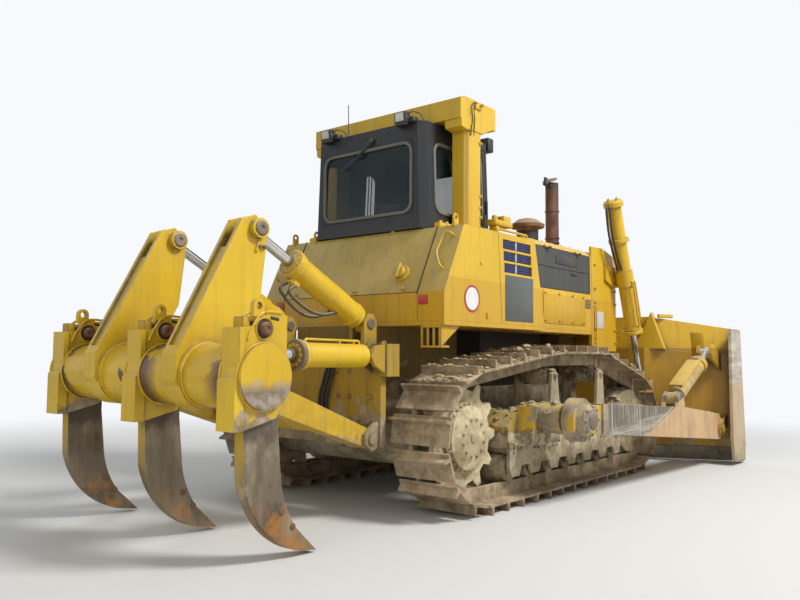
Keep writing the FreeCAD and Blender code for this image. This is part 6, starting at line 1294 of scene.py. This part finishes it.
def cushion(name, size, centre, tilt, swell):
    """A sewn cushion, blown up by a short cloth simulation from a slimmer block."""
    mesh = bmesh.new()
    board(mesh, size, min(size) * 0.30, (0, 0, 0))
    piece = placed(name, baked(name, mesh))
    remesh = piece.modifiers.new("even", "REMESH")
    remesh.mode = "VOXEL"
    remesh.voxel_size = 0.013
    piece.data = shown(piece)
    blown = piece.data
    cloth = piece.modifiers.new("fill", "CLOTH")
    cloth.settings.use_pressure = True
    cloth.settings.uniform_pressure_force = 4
    cloth.settings.effector_weights.gravity = 0
    for frame_number in range(1, 19):
        scene.frame_set(frame_number)
    blown = shown(piece)
    scene.frame_set(1)
    turn = Matrix.Rotation(tilt, 3, "Y")
    for v, new in zip(piece.data.vertices, [p.co.copy() for p in blown.vertices]):
        start = v.co.copy()
        push = new - start
        if push.length > swell:
            push = push.normalized() * swell
        place = start + push
        across = abs(abs(start.y) - size[1] * 0.28)
        groove = math.exp(-(across / 0.010) ** 2) * 0.006
        if abs(place.z) > size[2] * 0.25 and size[1] > 0.35:
            place.z -= math.copysign(groove, place.z)
        v.co = turn @ place + centre
    piece.data.materials.clear()
    piece.data.materials.append(seat_cloth)
    piece.data.shade_smooth()
    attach(piece, "machine")
    return piece


seat_base = cushion("seat_cushion", (0.44, 0.46, 0.10), spot(0.690, 0, 2.190), 0.05, 0.014)
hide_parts("seat")
cushion("seat_back", (0.10, 0.46, 0.58), spot(0.468, 0, 2.520), 0.15, 0.014)
cushion("seat_head_rest", (0.085, 0.26, 0.15), spot(0.388, 0, 2.865), 0.15, 0.010)
inside = bmesh.new()
board(inside, (0.42, 0.40, 0.08), 0.02, spot(0.69, 0, 2.125))
board(inside, (0.028, 0.38, 0.50), 0.008, spot(0.420, 0, 2.50), Matrix.Rotation(0.15, 3, "Y"))
for hand, _ in SIDES:
    board(inside, (0.56, 0.15, 0.60), 0.03, spot(0.74, hand * 0.385, 2.06))
    board(inside, (0.38, 0.09, 0.05), 0.02, spot(0.74, hand * 0.375, 2.415))
    board(inside, (0.06, 0.06, 0.11), 0.012, spot(0.63, hand * 0.375, 2.37))
    turned(inside, ((0.012, 0.0), (0.010, 0.13), (0.024, 0.15), (0.026, 0.19), (0.014, 0.215),
                    (0, 0.216)), spot(0.95, hand * 0.385, 2.35), (0.15, 0, 1), 16)
    turned(inside, ((0.007, 0.0), (0.007, 0.12)), spot(0.385, hand * 0.055, 2.74),
           (-0.15, 0, 1), 10)
board(inside, (0.20, 0.38, 0.18), 0.03, spot(1.165, 0.0, 2.74), Matrix.Rotation(-0.4, 3, "Y"))
settle("cab_inside", inside, trim_grey)

# Roll-over frame: a folded cross beam on two posts with welded knees and bolted feet.
# Steps and bolts run up each post, and an aerial bracket with loose wires tops the beam.
dress(hull_paint, "roll_over_frame")
post_face = surface_of("roll_over_frame")
post_bolts, ties, clip = bmesh.new(), bmesh.new(), bmesh.new()
for hand, _ in SIDES:
    starts = [spot(station, hand * 2.0, height) for station, height in (
        (0.595, 2.735), (0.595, 2.835), (0.595, 2.945), (0.585, 3.47))]
    bolts(post_bolts, hits(post_face, starts, (0, -hand, 0)), 0.015)
    starts = [spot(station, hand * 0.995, 2.9) for station in (0.365, 0.48, 0.56, 0.665)]
    bolts(post_bolts, [(place, facing) for place, facing in hits(
        post_face, starts, (0, 0, -1)) if place.z < 2.75], 0.015)
    for k in range(22):
        bead(ties, spot(0.39 + 0.25 * (k + 0.5) / 22, hand * 0.976, 3.577))
    knob(ties, spot(0.56, hand * 0.60, 3.885), (0, 0, 1), 0.05, 0.006, 0.03, 0.010, 20)
settle("post_bolts", post_bolts, hull_paint)
settle("frame_welds", ties, hull_paint)
board(clip, (0.10, 0.016, 0.07), 0.004, spot(0.545, -0.982, 3.838))
board(clip, (0.024, 0.06, 0.024), 0.004, spot(0.575, -1.000, 3.845))
board(clip, (0.04, 0.04, 0.065), 0.005, spot(0.79, -0.75, 3.90))
settle("aerial_bracket", clip, hull_paint)
for k, (a, b) in enumerate(((0.46, 0.42), (0.49, 0.47)), 1):
    bent_tube(f"frame_wire_{k}", [
        spot(0.530, -0.985, 3.850), spot(a, -0.992, 3.868), spot(b - 0.02, -0.990, 3.78),
        spot(a - 0.01, -0.988, 3.68), spot(b, -0.984, 3.60), spot(b + 0.01, -0.972, 3.52)],
        0.005, lamp_black, 0.05, sides=4)
